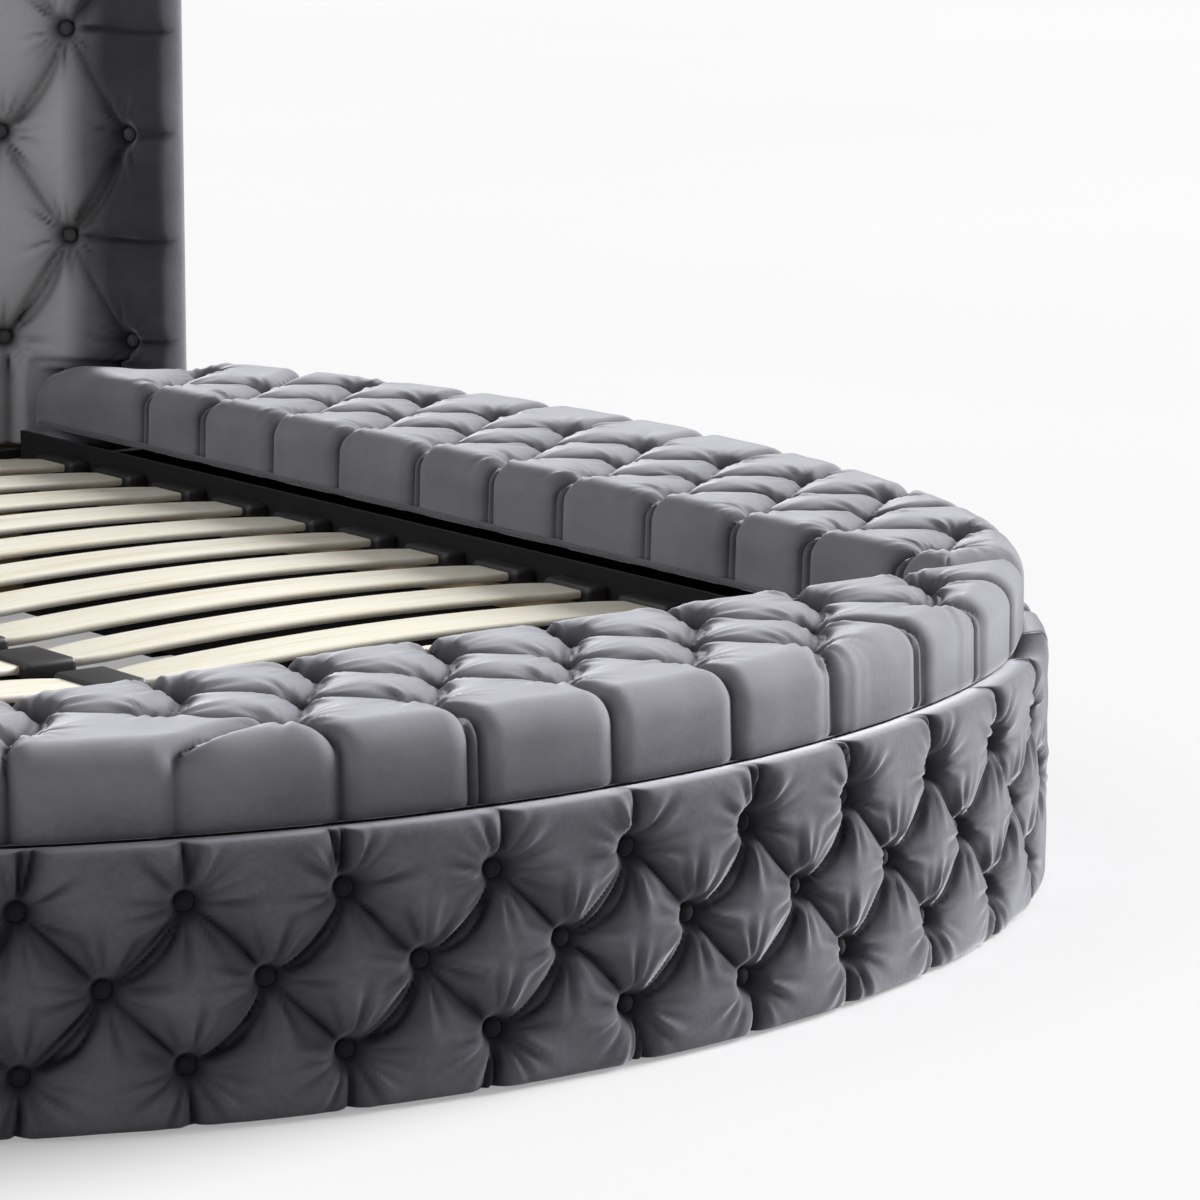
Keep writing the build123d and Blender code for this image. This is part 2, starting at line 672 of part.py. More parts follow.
def both_sides(shapes):
    """Right-hand pieces together with their left-hand twins."""
    return shapes + [mirrored(shape) for shape in shapes]


parts = {}

# Box walls, linings, panels and floors of the three benches
right_wall = outer_wall(RIGHT_ZONE)
parts["right_outer_wall"] = right_wall
parts["left_outer_wall"] = mirrored(right_wall)
parts["foot_outer_wall"] = outer_wall(FOOT_ZONE) - foot_swing_room()
parts["right_inner_wall"] = side_inner_wall()
parts["left_inner_wall"] = mirrored(parts["right_inner_wall"])
parts["foot_inner_wall"] = foot_inner_wall()
parts["right_well_lining"] = side_lining()
parts["left_well_lining"] = mirrored(parts["right_well_lining"])
parts["foot_well_lining"] = foot_lining()
parts["right_front_panel"] = side_end_panel(CHORD_Y, CHORD_Y + WALL_BOARD)
parts["left_front_panel"] = mirrored(parts["right_front_panel"])
parts["right_rear_panel"] = side_end_panel(TIP_Y - WALL_BOARD, TIP_Y)
parts["left_rear_panel"] = mirrored(parts["right_rear_panel"])
side_floor_zone = zone(WELL_X + LINING + WALL_BOARD, OVERRUN, CHORD_Y + WALL_BOARD, TIP_Y - WALL_BOARD)
parts["right_floor_panel"] = bench_floor(side_floor_zone)
parts["left_floor_panel"] = mirrored(parts["right_floor_panel"])
parts["foot_floor_panel"] = bench_floor(zone(-OVERRUN, OVERRUN, -OVERRUN, FOOT_WALL_Y))

# Padded velvet sides with their buttons
right_places = side_tuft_places(in_right)
left_places = side_tuft_places(in_left)
foot_places = side_tuft_places(in_foot)
left_zone = zone(-OVERRUN, 0, CHORD_Y, TIP_Y)
for name, places, bench_zone in (
    ("right", right_places, RIGHT_ZONE),
    ("left", left_places, left_zone),
    ("foot", foot_places, FOOT_ZONE),
):
    dimples = [dimple(place, SIDE_DIMPLE_DEPTH) for place in places]
    cover = side_cover(bench_zone) - dimples
    parts[name + "_side_cover"] = (cover - foot_swing_room()).fix()
    parts[name + "_side_buttons"] = Compound([button(place) for place in places])

# Head of the well, and the headboard
panel_y = head_panel_y()
panel_half = WELL_X + LINING
shelf_foot = SLAT_FOOT - SHELF_BOARD / 2
parts["head_cross_panel"] = block(
    -panel_half, panel_half, panel_y, panel_y + WALL_BOARD, GLIDE_HEIGHT, shelf_foot
)
shelf_region = outline_face(HEAD, HEAD_PADDING) & zone(-panel_half, panel_half, panel_y, OVERRUN)
parts["head_shelf"] = slab(shelf_region, shelf_foot, shelf_foot + SHELF_BOARD)
parts["headboard_core"] = headboard_core()
parts["headboard_back_cover"] = headboard_back()
head_places = headboard_tuft_places()
parts["headboard_pad"] = headboard_pad(head_places)
parts["headboard_buttons"] = Compound([button(place) for place in head_places])

# Slatted base in the well: rails, beam, legs, holders and sprung slats
slat_rows = slat_places()
rail = block(WELL_X - RAIL_WIDTH, WELL_X, CHORD_Y, panel_y, RAIL_TOP - RAIL_HEIGHT, RAIL_TOP)
parts["right_slat_rail"] = rail
parts["left_slat_rail"] = mirrored(rail)
beam_foot = RAIL_TOP - BEAM_HEIGHT
parts["centre_beam"] = block(-BEAM_WIDTH / 2, BEAM_WIDTH / 2, CHORD_Y, panel_y, beam_foot, RAIL_TOP)
leg_step = (panel_y - CHORD_Y) / LEG_COUNT
leg_rows = [CHORD_Y + leg_step * (number + 1 / 2) for number in range(LEG_COUNT)]
leg_half = LEG_WIDTH / 2
legs = [block(-leg_half, leg_half, y - leg_half, y + leg_half, GLIDE_HEIGHT, beam_foot) for y in leg_rows]
parts["centre_legs"] = Compound(legs)
one_slat = slat()
slat_pair = [one_slat, mirrored(one_slat)]
parts["slats"] = Compound(repeated(one_slat, slat_rows) + repeated(slat_pair[1], slat_rows))
side_cap = slat_cap(WELL_X - CAP_LENGTH, WELL_X, one_slat)
parts["right_slat_caps"] = Compound(repeated(side_cap, slat_rows))
parts["left_slat_caps"] = Compound(repeated(mirrored(side_cap), slat_rows))
middle_cap = slat_cap(-CAP_LENGTH, CAP_LENGTH, slat_pair)
parts["centre_slat_caps"] = Compound(repeated(middle_cap, slat_rows))

# Hinges and lids
side_frames = side_hinge_frames()
foot_frames = foot_hinge_frames()
side_arms = [hinge_arm(frame) for frame in side_frames]
parts["right_hinge_arms"] = Compound(side_arms)
parts["left_hinge_arms"] = Compound([mirrored(arm) for arm in side_arms])
parts["foot_hinge_arms"] = Compound([hinge_arm(frame) for frame in foot_frames])


def lid_tuft_places(spots):
    """Planes on the dimple floors of a lid's top, from its button places in plan."""
    floor = LID_TOP - LID_DIMPLE_DEPTH
    return [Plane(origin=(x, y, floor), z_dir=(0, 0, 1)) for x, y in spots]


def inside_lid(plan, x, y):
    """Whether a button fits on a lid with its margin."""
    spot = Pos(x, y) * Circle(LID_EDGE_MARGIN)
    return (spot - plan).area < NEAR


def foot_lid_spots():
    """Button places on the foot lid: rows along the chord, every second one moved by half a pitch."""
    spots = []
    row = 0
    while LID_FIRST_ROW + row * LID_ROW_PITCH < FOOT_LID_WIDTH:
        y = CHORD_Y - LID_FIRST_ROW - row * LID_ROW_PITCH
        shift = TUFT_SHIFT + (TUFT_PITCH / 2 if row % 2 else 0)
        count = int(WELL_X / TUFT_PITCH) + 2
        for number in range(-count, count + 1):
            x = number * TUFT_PITCH + shift
            if inside_lid(FOOT_LID_PLAN, x, y):
                spots.append((x, y))
        row += 1
    return spots


def side_lid_spots():
    """Button places on the right lid: rows along its straight edge."""
    spots = []
    row = 0
    while LID_FIRST_ROW + row * LID_ROW_PITCH < SIDE_LID_WIDTH:
        x = WELL_X + LID_FIRST_ROW + row * LID_ROW_PITCH
        shift = TUFT_PITCH / 2 if row % 2 else 0
        count = int(OVERALL_LENGTH / TUFT_PITCH)
        for number in range(count):
            y = SIDE_FRONT_Y + TUFT_PITCH * (number + 1 / 2) + shift
            if inside_lid(SIDE_LID_PLAN, x, y):
                spots.append((x, y))
        row += 1
    return spots


def lid_parts(plan, spots, frames):
    """Every piece that turns with one lid, made in the closed position."""
    places = lid_tuft_places(spots)
    pocket_width = ARM_THICKNESS / 2 + ARM_SIDE_GAP + CHEEK_FLANGE + POCKET_GAP
    pockets = [hinge_room(frame, pocket_width) for frame in frames]
    slots = [hinge_room(frame, ARM_THICKNESS / 2 + ARM_SIDE_GAP) for frame in frames]
    inset = offset(plan, -LID_BOARD_MARGIN, kind=Kind.INTERSECTION)
    board_room = slab(inset, SEAT_SEAM_HEIGHT, SEAT_SEAM_HEIGHT + LID_BOARD)
    return {
        "lid_board": lid_board(inset, slots),
        "lid_cushion": lid_cushion(plan, places, pockets, board_room),
        "lid_buttons": Compound([button(place) for place in places]),
        "hinge_cheeks": Compound([cheek for frame in frames for cheek in hinge_cheeks(frame)]),
        "hinge_pins": Compound([hinge_pin(frame) for frame in frames]),
    }


side_spots = side_lid_spots()
for name, piece in lid_parts(SIDE_LID_PLAN, side_spots, side_frames).items():
    parts["right_" + name] = piece
    parts["left_" + name] = mirrored(piece)
foot_spots = foot_lid_spots()
for name, piece in lid_parts(FOOT_LID_PLAN, foot_spots, foot_frames).items():
    parts["foot_" + name] = piece

# Rests, glides and bolts
wall_middle = -SIDE_PADDING - WALL_BOARD / 2
wall_places = outline_ring(REST_TURNS, wall_middle)
rests = [place for place in wall_places if place[1] < TIP_Y - REST_LENGTH]
parts["lid_rests"] = Compound(lid_rests(rests))
glide_places = [(x, y) for x, y, _ in wall_places if y < TIP_Y - GLIDE_RADIUS]
inner_x = WELL_X + LINING + WALL_BOARD / 2
glide_places += [(side * inner_x, y) for side in (-1, 1) for y in leg_rows]
glide_places += [(0, y) for y in leg_rows]
glide_places += [(0, FOOT_WALL_Y + WALL_BOARD / 2), (0, panel_y + WALL_BOARD / 2)]
core_middle = (HEAD_PADDING + HEADBOARD_THICKNESS - HEAD_BACKING) / 2
for turn in HEAD_GLIDE_TURNS:
    x, y = point_at(HEAD, turn, core_middle)
    glide_places += [(x, y), (-x, y)] if x > NEAR else [(x, y)]
parts["glide_feet"] = Compound([glide(x, y) for x, y in glide_places])

# Bolts: benches to each other through the end panels, and the headboard's legs through the rear panels
panel_x = (WELL_X + LINING + WALL_BOARD + point_at(PLAN, CORNER_TURN, -WALL_IN)[0]) / 2
bolt_heights = [GLIDE_HEIGHT + INNER_TOP * (number + 1) / (BOLT_ROWS + 2) for number in range(BOLT_ROWS)]
head_bolts = [bolt_head(panel_x, TIP_Y - WALL_BOARD, z, (0, -1, 0)) for z in bolt_heights]
parts["headboard_bolts"] = Compound(both_sides(head_bolts))
bench_bolt_x = WELL_X + LINING + WALL_BOARD + ARM_PLATE_WIDTH
bench_bolts = [bolt_head(bench_bolt_x, CHORD_Y + WALL_BOARD, z, (0, 1, 0)) for z in bolt_heights]
parts["bench_bolts"] = Compound(both_sides(bench_bolts))

os.makedirs("parts", exist_ok=True)
for name, shape in parts.items():
    export_step(shape, "parts/" + name + ".step")
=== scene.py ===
import math

import bmesh
import bpy
import numpy as np
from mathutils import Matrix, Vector


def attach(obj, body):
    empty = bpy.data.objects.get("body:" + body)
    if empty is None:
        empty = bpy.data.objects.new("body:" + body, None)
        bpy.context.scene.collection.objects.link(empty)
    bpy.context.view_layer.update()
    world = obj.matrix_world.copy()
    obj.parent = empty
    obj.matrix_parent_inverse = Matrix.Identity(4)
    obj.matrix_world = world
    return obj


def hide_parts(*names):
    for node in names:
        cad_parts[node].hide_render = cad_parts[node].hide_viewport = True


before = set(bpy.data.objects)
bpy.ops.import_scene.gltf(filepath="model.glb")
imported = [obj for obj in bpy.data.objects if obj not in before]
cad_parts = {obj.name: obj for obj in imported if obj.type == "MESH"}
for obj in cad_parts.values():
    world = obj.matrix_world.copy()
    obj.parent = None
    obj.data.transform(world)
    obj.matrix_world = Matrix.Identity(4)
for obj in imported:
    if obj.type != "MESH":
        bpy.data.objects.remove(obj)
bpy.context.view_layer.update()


# Padded velvet sides
# The skin of the three benches is deep-buttoned velvet over foam, pulled through a bent plywood
# wall at three rows of covered buttons. The cloth is folded along the diamonds between buttons,
# and pleated straight up to the seam and straight down to the hem.

SEAM = 0.2718
HEM = 0.003
PADDING = 0.030
PLUMP = 0.007
SIDE_FLOOR = -0.019
SIDE_PIT = PLUMP - SIDE_FLOOR
TUFT_PITCH = 0.158
TUFT_SHIFT = 0.050
SIDE_ROWS = (0.215, 0.137, 0.059)
CHORD = -0.915
TIP = 0.895
SWING_ROOM = 0.0756
HINGE_HEIGHT = 0.328
FOOT_HINGE_Y = -0.967
PRESSED_FROM = 0.232
BENCH_END_MARGIN = 0.045
HALF_ROUND = 2.9
BUTTON_LINE = -0.017
SIDE_FOLD_ENDS = 0.0245
SIDE_FOLD_MIDDLE = 0.0180
SIDE_TOP_PLEAT = 0.0175
SIDE_FOOT_PLEAT = 0.0155
SIDE_FOLD_REACH = 0.054
PLEAT_OVERRUN = 0.004
SIDE_MESH_UP = 0.0034
SIDE_MESH_ALONG = 0.0036
JOINT_OVER = 0.006
JOINT_IN = 0.003
LINING_GAP = 0.0005
SAME_POINT = 0.00002

CREASE_LINE = 0.0050
CREASE_SHADE = 0.85
BUTTON_REACH = 0.1
RAY_COUNTS = (8, 13, 19)
RAY_PLACE = 0.030
RAY_SPREAD = 0.027
RAY_SHADE = 110
DARK_RADIUS = 0.021
RIPPLE_SIZE = 0.09
PLACE_SLACK = 0.02
CHANCE_BOW = 0.004
PILLOW_BOW = 0.011
SLACK_DEPTH = 0.72
SLACK_WIDTH = 0.55
SLACK_CHANCE = 0.6
SECOND_PLEAT = 0.013
PLEAT_WIDTH = 0.42
chance = np.random.default_rng(11)


def arc_line(start_y, hand, radii, turns):
    """Tangent arcs from (0, start_y): each centre lies on the line through the last centre and
    the point that both arcs share."""
    arcs = []
    x, y, turn = 0.0, start_y - hand * radii[0], 0.0
    for number, (radius, end) in enumerate(zip(radii, np.radians(turns))):
        if number:
            x += (radii[number - 1] - radius) * math.sin(turn)
            y += hand * (radii[number - 1] - radius) * math.cos(turn)
        arcs.append((x, y, radius, turn, end))
        turn = end
    return hand, arcs


def along(line, s, out):
    """Place and outward heading at arc length s: centre + (radius + out)(sin t, hand cos t). The
    turn t grows by the length over the radius, and a negative s is the mirror image."""
    hand, arcs = line
    far = np.abs(s)
    begun = 0.0
    found = None
    for x, y, radius, start, end in arcs:
        turn = start + (far - begun) / radius
        reach = radius + out
        sine, cosine = np.sin(turn), hand * np.cos(turn)
        here = (x + reach * sine, y + hand * reach * np.cos(turn), sine, cosine)
        found = here if found is None else [np.where(far >= begun, a, b) for a, b in zip(here, found)]
        begun += radius * (end - start)
    side = np.where(np.asarray(s) < 0, -1.0, 1.0)
    return found[0] * side, found[1], found[2] * side, found[3]


def length_where(line, y, out, longest=HALF_ROUND):
    """The arc length at which the line, moved outwards by out, crosses the place y."""
    s = np.linspace(0, longest, 6000)
    return float(np.interp(-line[0] * y, -line[0] * along(line, s, out)[1], s))


def spaced(length, pitch, ends=(0, 0.0007, 0.0022, 0.0045, 0.0078, 0.012, 0.017)):
    """Places from 0 to length: close together at both ends, about pitch apart between them."""
    near = np.array(ends)
    count = max(2, round((length - 2 * near[-1]) / pitch))
    middle = np.linspace(near[-1], length - near[-1], count + 1)
    return np.concatenate([near[:-1], middle, (length - near[:-1])[::-1]])


def sunk_by_folds(a, b, folds, reach, line):
    """How far folds sink the cloth, to the sixth power, and how strongly each place lies in a crease.
    A fold bows sideways by 4u(1 - u) times its bow. At t times its own share of reach from it, the
    cloth sinks by depth times 1 - sqrt(t(2 - t)), and the depths at both ends go over to the middle
    one by cubes. The crease is exp(-(off / line)^2), times the root of CREASE_LINE over line."""
    total, crease = np.zeros_like(a), np.zeros_like(a)
    for a0, b0, a1, b1, depth0, middle, depth1, bow, narrow in folds:
        da, db = a1 - a0, b1 - b0
        length = math.hypot(da, db)
        near = (a > min(a0, a1) - reach) & (a < max(a0, a1) + reach)
        near &= (b > min(b0, b1) - reach) & (b < max(b0, b1) + reach)
        pa, pb = a[near] - a0, b[near] - b0
        u = np.clip((pa * da + pb * db) / length**2, 0, 1)
        side = bow * 4 * u * (1 - u)
        off = np.hypot(pa - u * da + side * db / length, pb - u * db - side * da / length)
        t = np.minimum(off / (reach * narrow), 1)
        first, last = np.clip(1 - 2 * u, 0, 1) ** 3, np.clip(2 * u - 1, 0, 1) ** 3
        depth = middle + (depth0 - middle) * first + (depth1 - middle) * last
        total[near] += (depth * (1 - np.sqrt(t * (2 - t)))) ** 6
        crease[near] = np.maximum(crease[near], np.exp(-((off / line) ** 2)) * (CREASE_LINE / line) ** 0.5)
    return total, crease


def sunk_by_buttons(a, b, buttons, depth, spread=0.013, flat=0.008):
    """How far buttons sink the cloth, to the sixth power: depth times exp(-(r / spread)^1.5) beyond
    a flat floor. Fine pleats ray out from each button as three sines round it, strongest at
    RAY_PLACE. Painted shade, exp(-(r / DARK_RADIUS)^2), darkens the pit under the button."""
    total, rays, dark = np.zeros_like(a), np.zeros_like(a), np.zeros_like(a)
    for place_a, place_b in buttons:
        near = (np.abs(a - place_a) < BUTTON_REACH) & (np.abs(b - place_b) < BUTTON_REACH)
        pa, pb = a[near] - place_a, b[near] - place_b
        r, angle = np.hypot(pa, pb), np.arctan2(pb, pa)
        total[near] += (depth * np.exp(-((np.maximum(r - flat, 0) / spread) ** 1.5))) ** 6
        turns = chance.uniform(0, 2 * np.pi, len(RAY_COUNTS))
        wave = sum(np.sin(count * angle + turn) for count, turn in zip(RAY_COUNTS, turns))
        rays[near] += wave * np.exp(-(((r - RAY_PLACE) / RAY_SPREAD) ** 2)) * np.clip(r / 0.02 - 0.5, 0, 1)
        dark[near] = np.maximum(dark[near], np.exp(-((r / DARK_RADIUS) ** 2)))
    return total, rays, dark


def ripple(a, b, size):
    """Slack in the cloth: a quarter of the sum of eight sines with chance headings, about size from
    crest to crest."""
    total = np.zeros_like(a)
    for heading, turn, scale in chance.uniform(0, 1, (8, 3)):
        wave = 2 * np.pi / size * (0.6 + scale)
        heading *= np.pi
        total += np.sin(wave * (a * math.cos(heading) + b * math.sin(heading)) + 7 * turn)
    return total / 4


def quilted(a, b, buttons, folds, pit, reach, slack=0.0016, line=CREASE_LINE):
    """Depth of deep-buttoned cloth below its plump top, and a shade from 0 on the top to 1 in the
    folds. Folds and pits join as the sixth root of the sum of their sixth powers. The shade is the
    largest of depth over pit, the spots under buttons and the creases, and more in the rays' hollows."""
    folded, crease = sunk_by_folds(a, b, folds, reach, line)
    pitted, rays, dark = sunk_by_buttons(a, b, buttons, pit)
    depth = (folded + pitted) ** (1 / 6)
    shade = np.maximum(np.maximum(depth / pit, dark), CREASE_SHADE * crease)
    shade = np.clip(shade + RAY_SHADE * slack * np.clip(rays, 0, 3), 0, 1)
    return depth + slack * (rays * (1 - shade) + 0.5 * ripple(a, b, RIPPLE_SIZE)), shade


def diamond_folds(buttons, half_pitch, row_pitch, ends, middle):
    """A fold from each button to the neighbours one row on and half a pitch to each side. The ones
    that lean back bow out under their pillow, with one or two slack pleats beside them."""
    a, b = buttons.T
    aside = np.abs(a[:, None] - a[None, :])
    onward = b[None, :] - b[:, None]
    beside = np.abs(aside - half_pitch) < PLACE_SLACK
    first, second = np.nonzero(beside & (np.abs(onward - row_pitch) < PLACE_SLACK))
    folds = []
    for i, j in zip(first, second):
        bow, more = chance.uniform(-CHANCE_BOW, CHANCE_BOW), chance.uniform(0.007, 0.011)
        again = chance.uniform()
        leans_back = a[j] < a[i]
        depth = middle * (1.12 if leans_back else 0.9)
        bow += PILLOW_BOW if leans_back else 0.0
        way = (a[i], b[i], a[j], b[j])
        folds.append((*way, ends, depth, ends, bow, 1.0))
        for step, wanted in ((1, leans_back), (-1, leans_back and again < SLACK_CHANCE)):
            if wanted:
                folds.append((*way, ends, depth * SLACK_DEPTH, ends, bow + step * more, SLACK_WIDTH))
    return folds


def edge_pleats(starts, stops, depth, edge_depth, lean=0.006, double=0.7):
    """A pleat from each button to its place on an edge, which moves sideways by lean at most. A
    share of them, double, have a second and shallower fold that leaves the first one slowly."""
    folds = []
    for (a0, b0), (a1, b1) in zip(starts, stops):
        shift, bow = chance.uniform(-lean, lean), chance.uniform(-CHANCE_BOW, CHANCE_BOW)
        again = chance.uniform()
        da, db = a1 - a0, b1 - b0
        length = math.hypot(da, db)
        side_a, side_b = db / length, -da / length
        for step in (0, 1) if again < double else (0,):
            move = shift + step * math.copysign(SECOND_PLEAT, shift)
            end = (a1 + side_a * move, b1 + side_b * move)
            depths = (depth, (depth + edge_depth) / 2, edge_depth * (1 - 0.2 * step))
            folds.append((a0, b0, *end, *depths, bow, PLEAT_WIDTH))
    return folds


def quads(p, q, r, s):
    """Four grids of corner numbers as one list of four-sided faces."""
    return np.stack([p.ravel(), q.ravel(), r.ravel(), s.ravel()], 1)


def rim_faces(rows, columns, back):
    """Quads of two sheets of one grid and of the four strips that join them round their rims."""
    index = np.arange(rows * columns).reshape(rows, columns)
    far = index + back
    return np.concatenate([
        quads(index[:-1, :-1], index[:-1, 1:], index[1:, 1:], index[1:, :-1]),
        quads(far[:-1, :-1], far[1:, :-1], far[1:, 1:], far[:-1, 1:]),
        quads(index[0, :-1], far[0, :-1], far[0, 1:], index[0, 1:]),
        quads(index[-1, :-1], index[-1, 1:], far[-1, 1:], far[-1, :-1]),
        quads(index[:-1, 0], index[1:, 0], far[1:, 0], far[:-1, 0]),
        quads(index[:-1, -1], far[:-1, -1], far[1:, -1], index[1:, -1]),
    ])


def make_piece(name, points, faces, finish, shade=None, merge=0.0, nap=0.0):
    """A mesh object from whole arrays of points and quads. A shade is kept as the attribute fold,
    which the velvet turns into painted shade, and beside it the painted light tone: 0 shaded, 1 lit,
    2 palest, or between. Points nearer than merge become one, which closes poles and seams."""
    mesh = bpy.data.meshes.new(name)
    mesh.vertices.add(len(points))
    mesh.vertices.foreach_set("co", np.ascontiguousarray(points, np.float32).ravel())
    mesh.loops.add(faces.size)
    mesh.loops.foreach_set("vertex_index", faces.astype(np.int32).ravel())
    mesh.polygons.add(len(faces))
    mesh.polygons.foreach_set("loop_start", np.arange(0, faces.size, 4, dtype=np.int32))
    mesh.update(calc_edges=True)
    if shade is not None:
        layer = mesh.attributes.new("fold", "FLOAT", "POINT")
        layer.data.foreach_set("value", shade.astype(np.float32).ravel())
        layer = mesh.attributes.new("nap", "FLOAT", "POINT")
        layer.data.foreach_set("value", np.broadcast_to(np.ravel(nap), len(points)).astype(np.float32))
    if merge:
        work = bmesh.new()
        work.from_mesh(mesh)
        bmesh.ops.remove_doubles(work, verts=work.verts, dist=merge)
        bmesh.ops.dissolve_degenerate(work, edges=work.edges, dist=merge)
        work.to_mesh(mesh)
        work.free()
    mesh.polygons.foreach_set("use_smooth", np.ones(len(mesh.polygons), bool))
    mesh.update()
    mesh.materials.append(finish)
    piece = bpy.data.objects.new(name, mesh)
    bpy.context.scene.collection.objects.link(piece)
    return piece


def two_sheets(name, front, back, finish, shade, nap=0.0):
    """A closed skin from a front and a back sheet, each rows by columns by 3. The shade is the front
    sheet's, and the back has none. The painted light tone is one number, or a grid for each of the two
    sheets."""
    rows, columns = front.shape[:2]
    points = np.concatenate([front.reshape(-1, 3), back.reshape(-1, 3)])
    faces = rim_faces(rows, columns, rows * columns)
    shades = np.concatenate([shade.ravel(), np.zeros(rows * columns)])
    return make_piece(name, points, faces, finish, shades, SAME_POINT, nap)


class Shade:
    """A socket in a node tree. Python's + - * / and ** on it each add the Math node of that operation,
    and the first four also take a plain number before the socket."""

    def __init__(self, tree, socket=None):
        """The tree that new nodes go into, and the socket that gives this value, if there is one."""
        self.tree = tree
        self.socket = socket

    def node(self, kind, settings=(), values=(), out=0):
        """Any other node: its settings first, a ramp's stops among them, then its sockets."""
        made = self.tree.nodes.new("ShaderNode" + kind)
        for name, value in dict(settings).items():
            if name == "stops":
                elements = made.color_ramp.elements
                while len(elements) < len(value):
                    elements.new(1)
                for element, (place, colour) in zip(elements, value):
                    element.position = place
                    element.color = (*colour, 1)
            else:
                setattr(made, name, value)
        for name, value in dict(values).items():
            if isinstance(value, Shade):
                self.tree.links.new(value.socket, made.inputs[name])
            else:
                made.inputs[name].default_value = value
        return Shade(self.tree, made.outputs[out])

    def maths(self, operation, first, second):
        """A Math node with two inputs, sockets or numbers."""
        return self.node("Math", {"operation": operation}, {0: first, 1: second})

    def __add__(self, other):
        return self.maths("ADD", self, other)

    def __sub__(self, other):
        return self.maths("SUBTRACT", self, other)

    def __rsub__(self, other):
        return self.maths("SUBTRACT", other, self)

    def __mul__(self, other):
        return self.maths("MULTIPLY", self, other)

    def __truediv__(self, other):
        return self.maths("DIVIDE", self, other)

    def __rtruediv__(self, other):
        return self.maths("DIVIDE", other, self)

    def __pow__(self, other):
        return self.maths("POWER", self, other)

    __radd__ = __add__
    __rmul__ = __mul__

    def noise(self, scale, detail, roughness):
        """Cloudy noise read at these coordinates, from 0 to 1."""
        values = {"Vector": self, "Scale": scale, "Detail": detail, "Roughness": roughness}
        return self.node("TexNoise", {}, values)

    def stretched(self, x, y, z):
        """These coordinates scaled by different amounts along each axis."""
        return self.node("VectorMath", {"operation": "MULTIPLY"}, {0: self, 1: (x, y, z)})

    def ramp(self, *stops):
        """Colours mixed between stops, each a place from 0 to 1 and a colour."""
        return self.node("ValToRGB", {"stops": stops}, {"Fac": self})

    def tones(self, *stops):
        """A ramp whose colours are given as seen on a screen, 0 to 255."""
        return self.ramp(*[(place, linear(*seen)) for place, seen in stops])

    def mixed(self, first, second):
        """first where this value is 0 and second where it is 1."""
        colours = [value if isinstance(value, Shade) else (*value, 1) for value in (first, second)]
        return self.node("Mix", {"data_type": "RGBA"}, {0: self, 6: colours[0], 7: colours[1]}, 2)

    def bump(self, strength, distance):
        """Normals tilted as if this value raised the surface by up to distance."""
        return self.node("Bump", {}, {"Strength": strength, "Distance": distance, "Height": self})


def linear(red, green, blue):
    """A colour as seen on a screen, 0 to 255, as the light that makes it: the standard curve's power
    of 2.4, and its straight foot for the darkest."""
    seen = (red, green, blue)
    return tuple(float(((c / 255 + 0.055) / 1.055) ** 2.4) if c > 10 else c / 3294.6 for c in seen)


def new_finish(name, **plain):
    """A material with one surface shader, whose even values are set on its own sockets, and the
    object's coordinates to paint with."""
    finish = bpy.data.materials.new(name)
    finish.use_nodes = True
    shader = finish.node_tree.nodes["Principled BSDF"]
    for socket, value in plain.items():
        shader.inputs[socket.replace("_", " ").title().replace("Ior", "IOR")].default_value = value
    start = Shade(finish.node_tree)
    return finish, shader, start.node("TexCoord", {}, {}, 3)


def paint(shader, **varying):
    """Links what changes over a surface to the shader's sockets."""
    for socket, value in varying.items():
        value.tree.links.new(value.socket, shader.inputs[socket.replace("_", " ").title()])


def velvet_finish(name, sheen):
    """Grey velvet: short pile that looks pale where it is seen along its surface, by as much sheen
    as is asked for, with painted shade in the folds, where the pressed pile is also darker. Painted
    light picks its tone: shaded at 0, lit at 1 and palest at 2. Brushed patches and a fine weave
    under the pile vary it, and a painted highlight lies on a few crests."""
    finish, shader, place = new_finish(
        name,
        sheen_weight=sheen,
        sheen_roughness=0.38,
        sheen_tint=(0.82, 0.82, 0.88, 1),
        specular_IOR_level=0.10,
    )
    fold = place.node("Attribute", {"attribute_name": "fold"}, {}, 2)
    brushed = place.stretched(1, 1, 1.6).noise(9, 4, 0.6)
    pile = place.noise(900, 2, 0.7)
    fine = place.noise(160, 4, 0.65)
    crest = (1 - fold) ** 6.0
    # Painted light: this attribute picks the tone, the shaded one of the sides at 0 (down), the lit one of
    # the lids at 1 (up) and the palest of the headboard at 2, standing for how light falls on each piece.
    nap = place.node("Attribute", {"attribute_name": "nap"}, {}, 2)
    down = brushed.tones((0.30, (88, 87, 94)), (0.55, (101, 100, 107)), (0.75, (116, 115, 122)))
    up = brushed.tones((0.30, (130, 130, 136)), (0.55, (146, 146, 152)), (0.75, (160, 160, 166)))
    cloth = (nap - 1).mixed(nap.mixed(down, up), linear(226, 226, 232))
    # Painted highlight: the plump crests, away from the folds, are painted paler in patches.
    crest_highlight = (crest * fine * 0.4).mixed(cloth, linear(165, 165, 171))
    # Painted shade: the fold attribute darkens the folds, creases and pits to near black; the pressed pile
    # there is also darker.
    deep = (fold ** 1.05).mixed(crest_highlight, linear(15, 14, 18))
    speckled = (pile * 0.14).mixed(deep, linear(62, 61, 66))
    relief = pile * 0.35 + fine * 0.5 + brushed * 0.6
    paint(
        shader,
        base_color=speckled,
        roughness=0.78 + 0.14 * fine,
        normal=relief.bump(0.35, 0.0012),
    )
    return finish


velvet = velvet_finish("grey_velvet", 1.0)
BASE = arc_line(-1.300, -1, (1.330, 0.930, 2.400), (28, 75, 130))


def lattice(pitch, shift, half):
    """Places a pitch apart on both sides of the middle, moved by shift."""
    count = int(half / pitch) + 1
    return pitch * np.arange(-count, count + 1) + shift


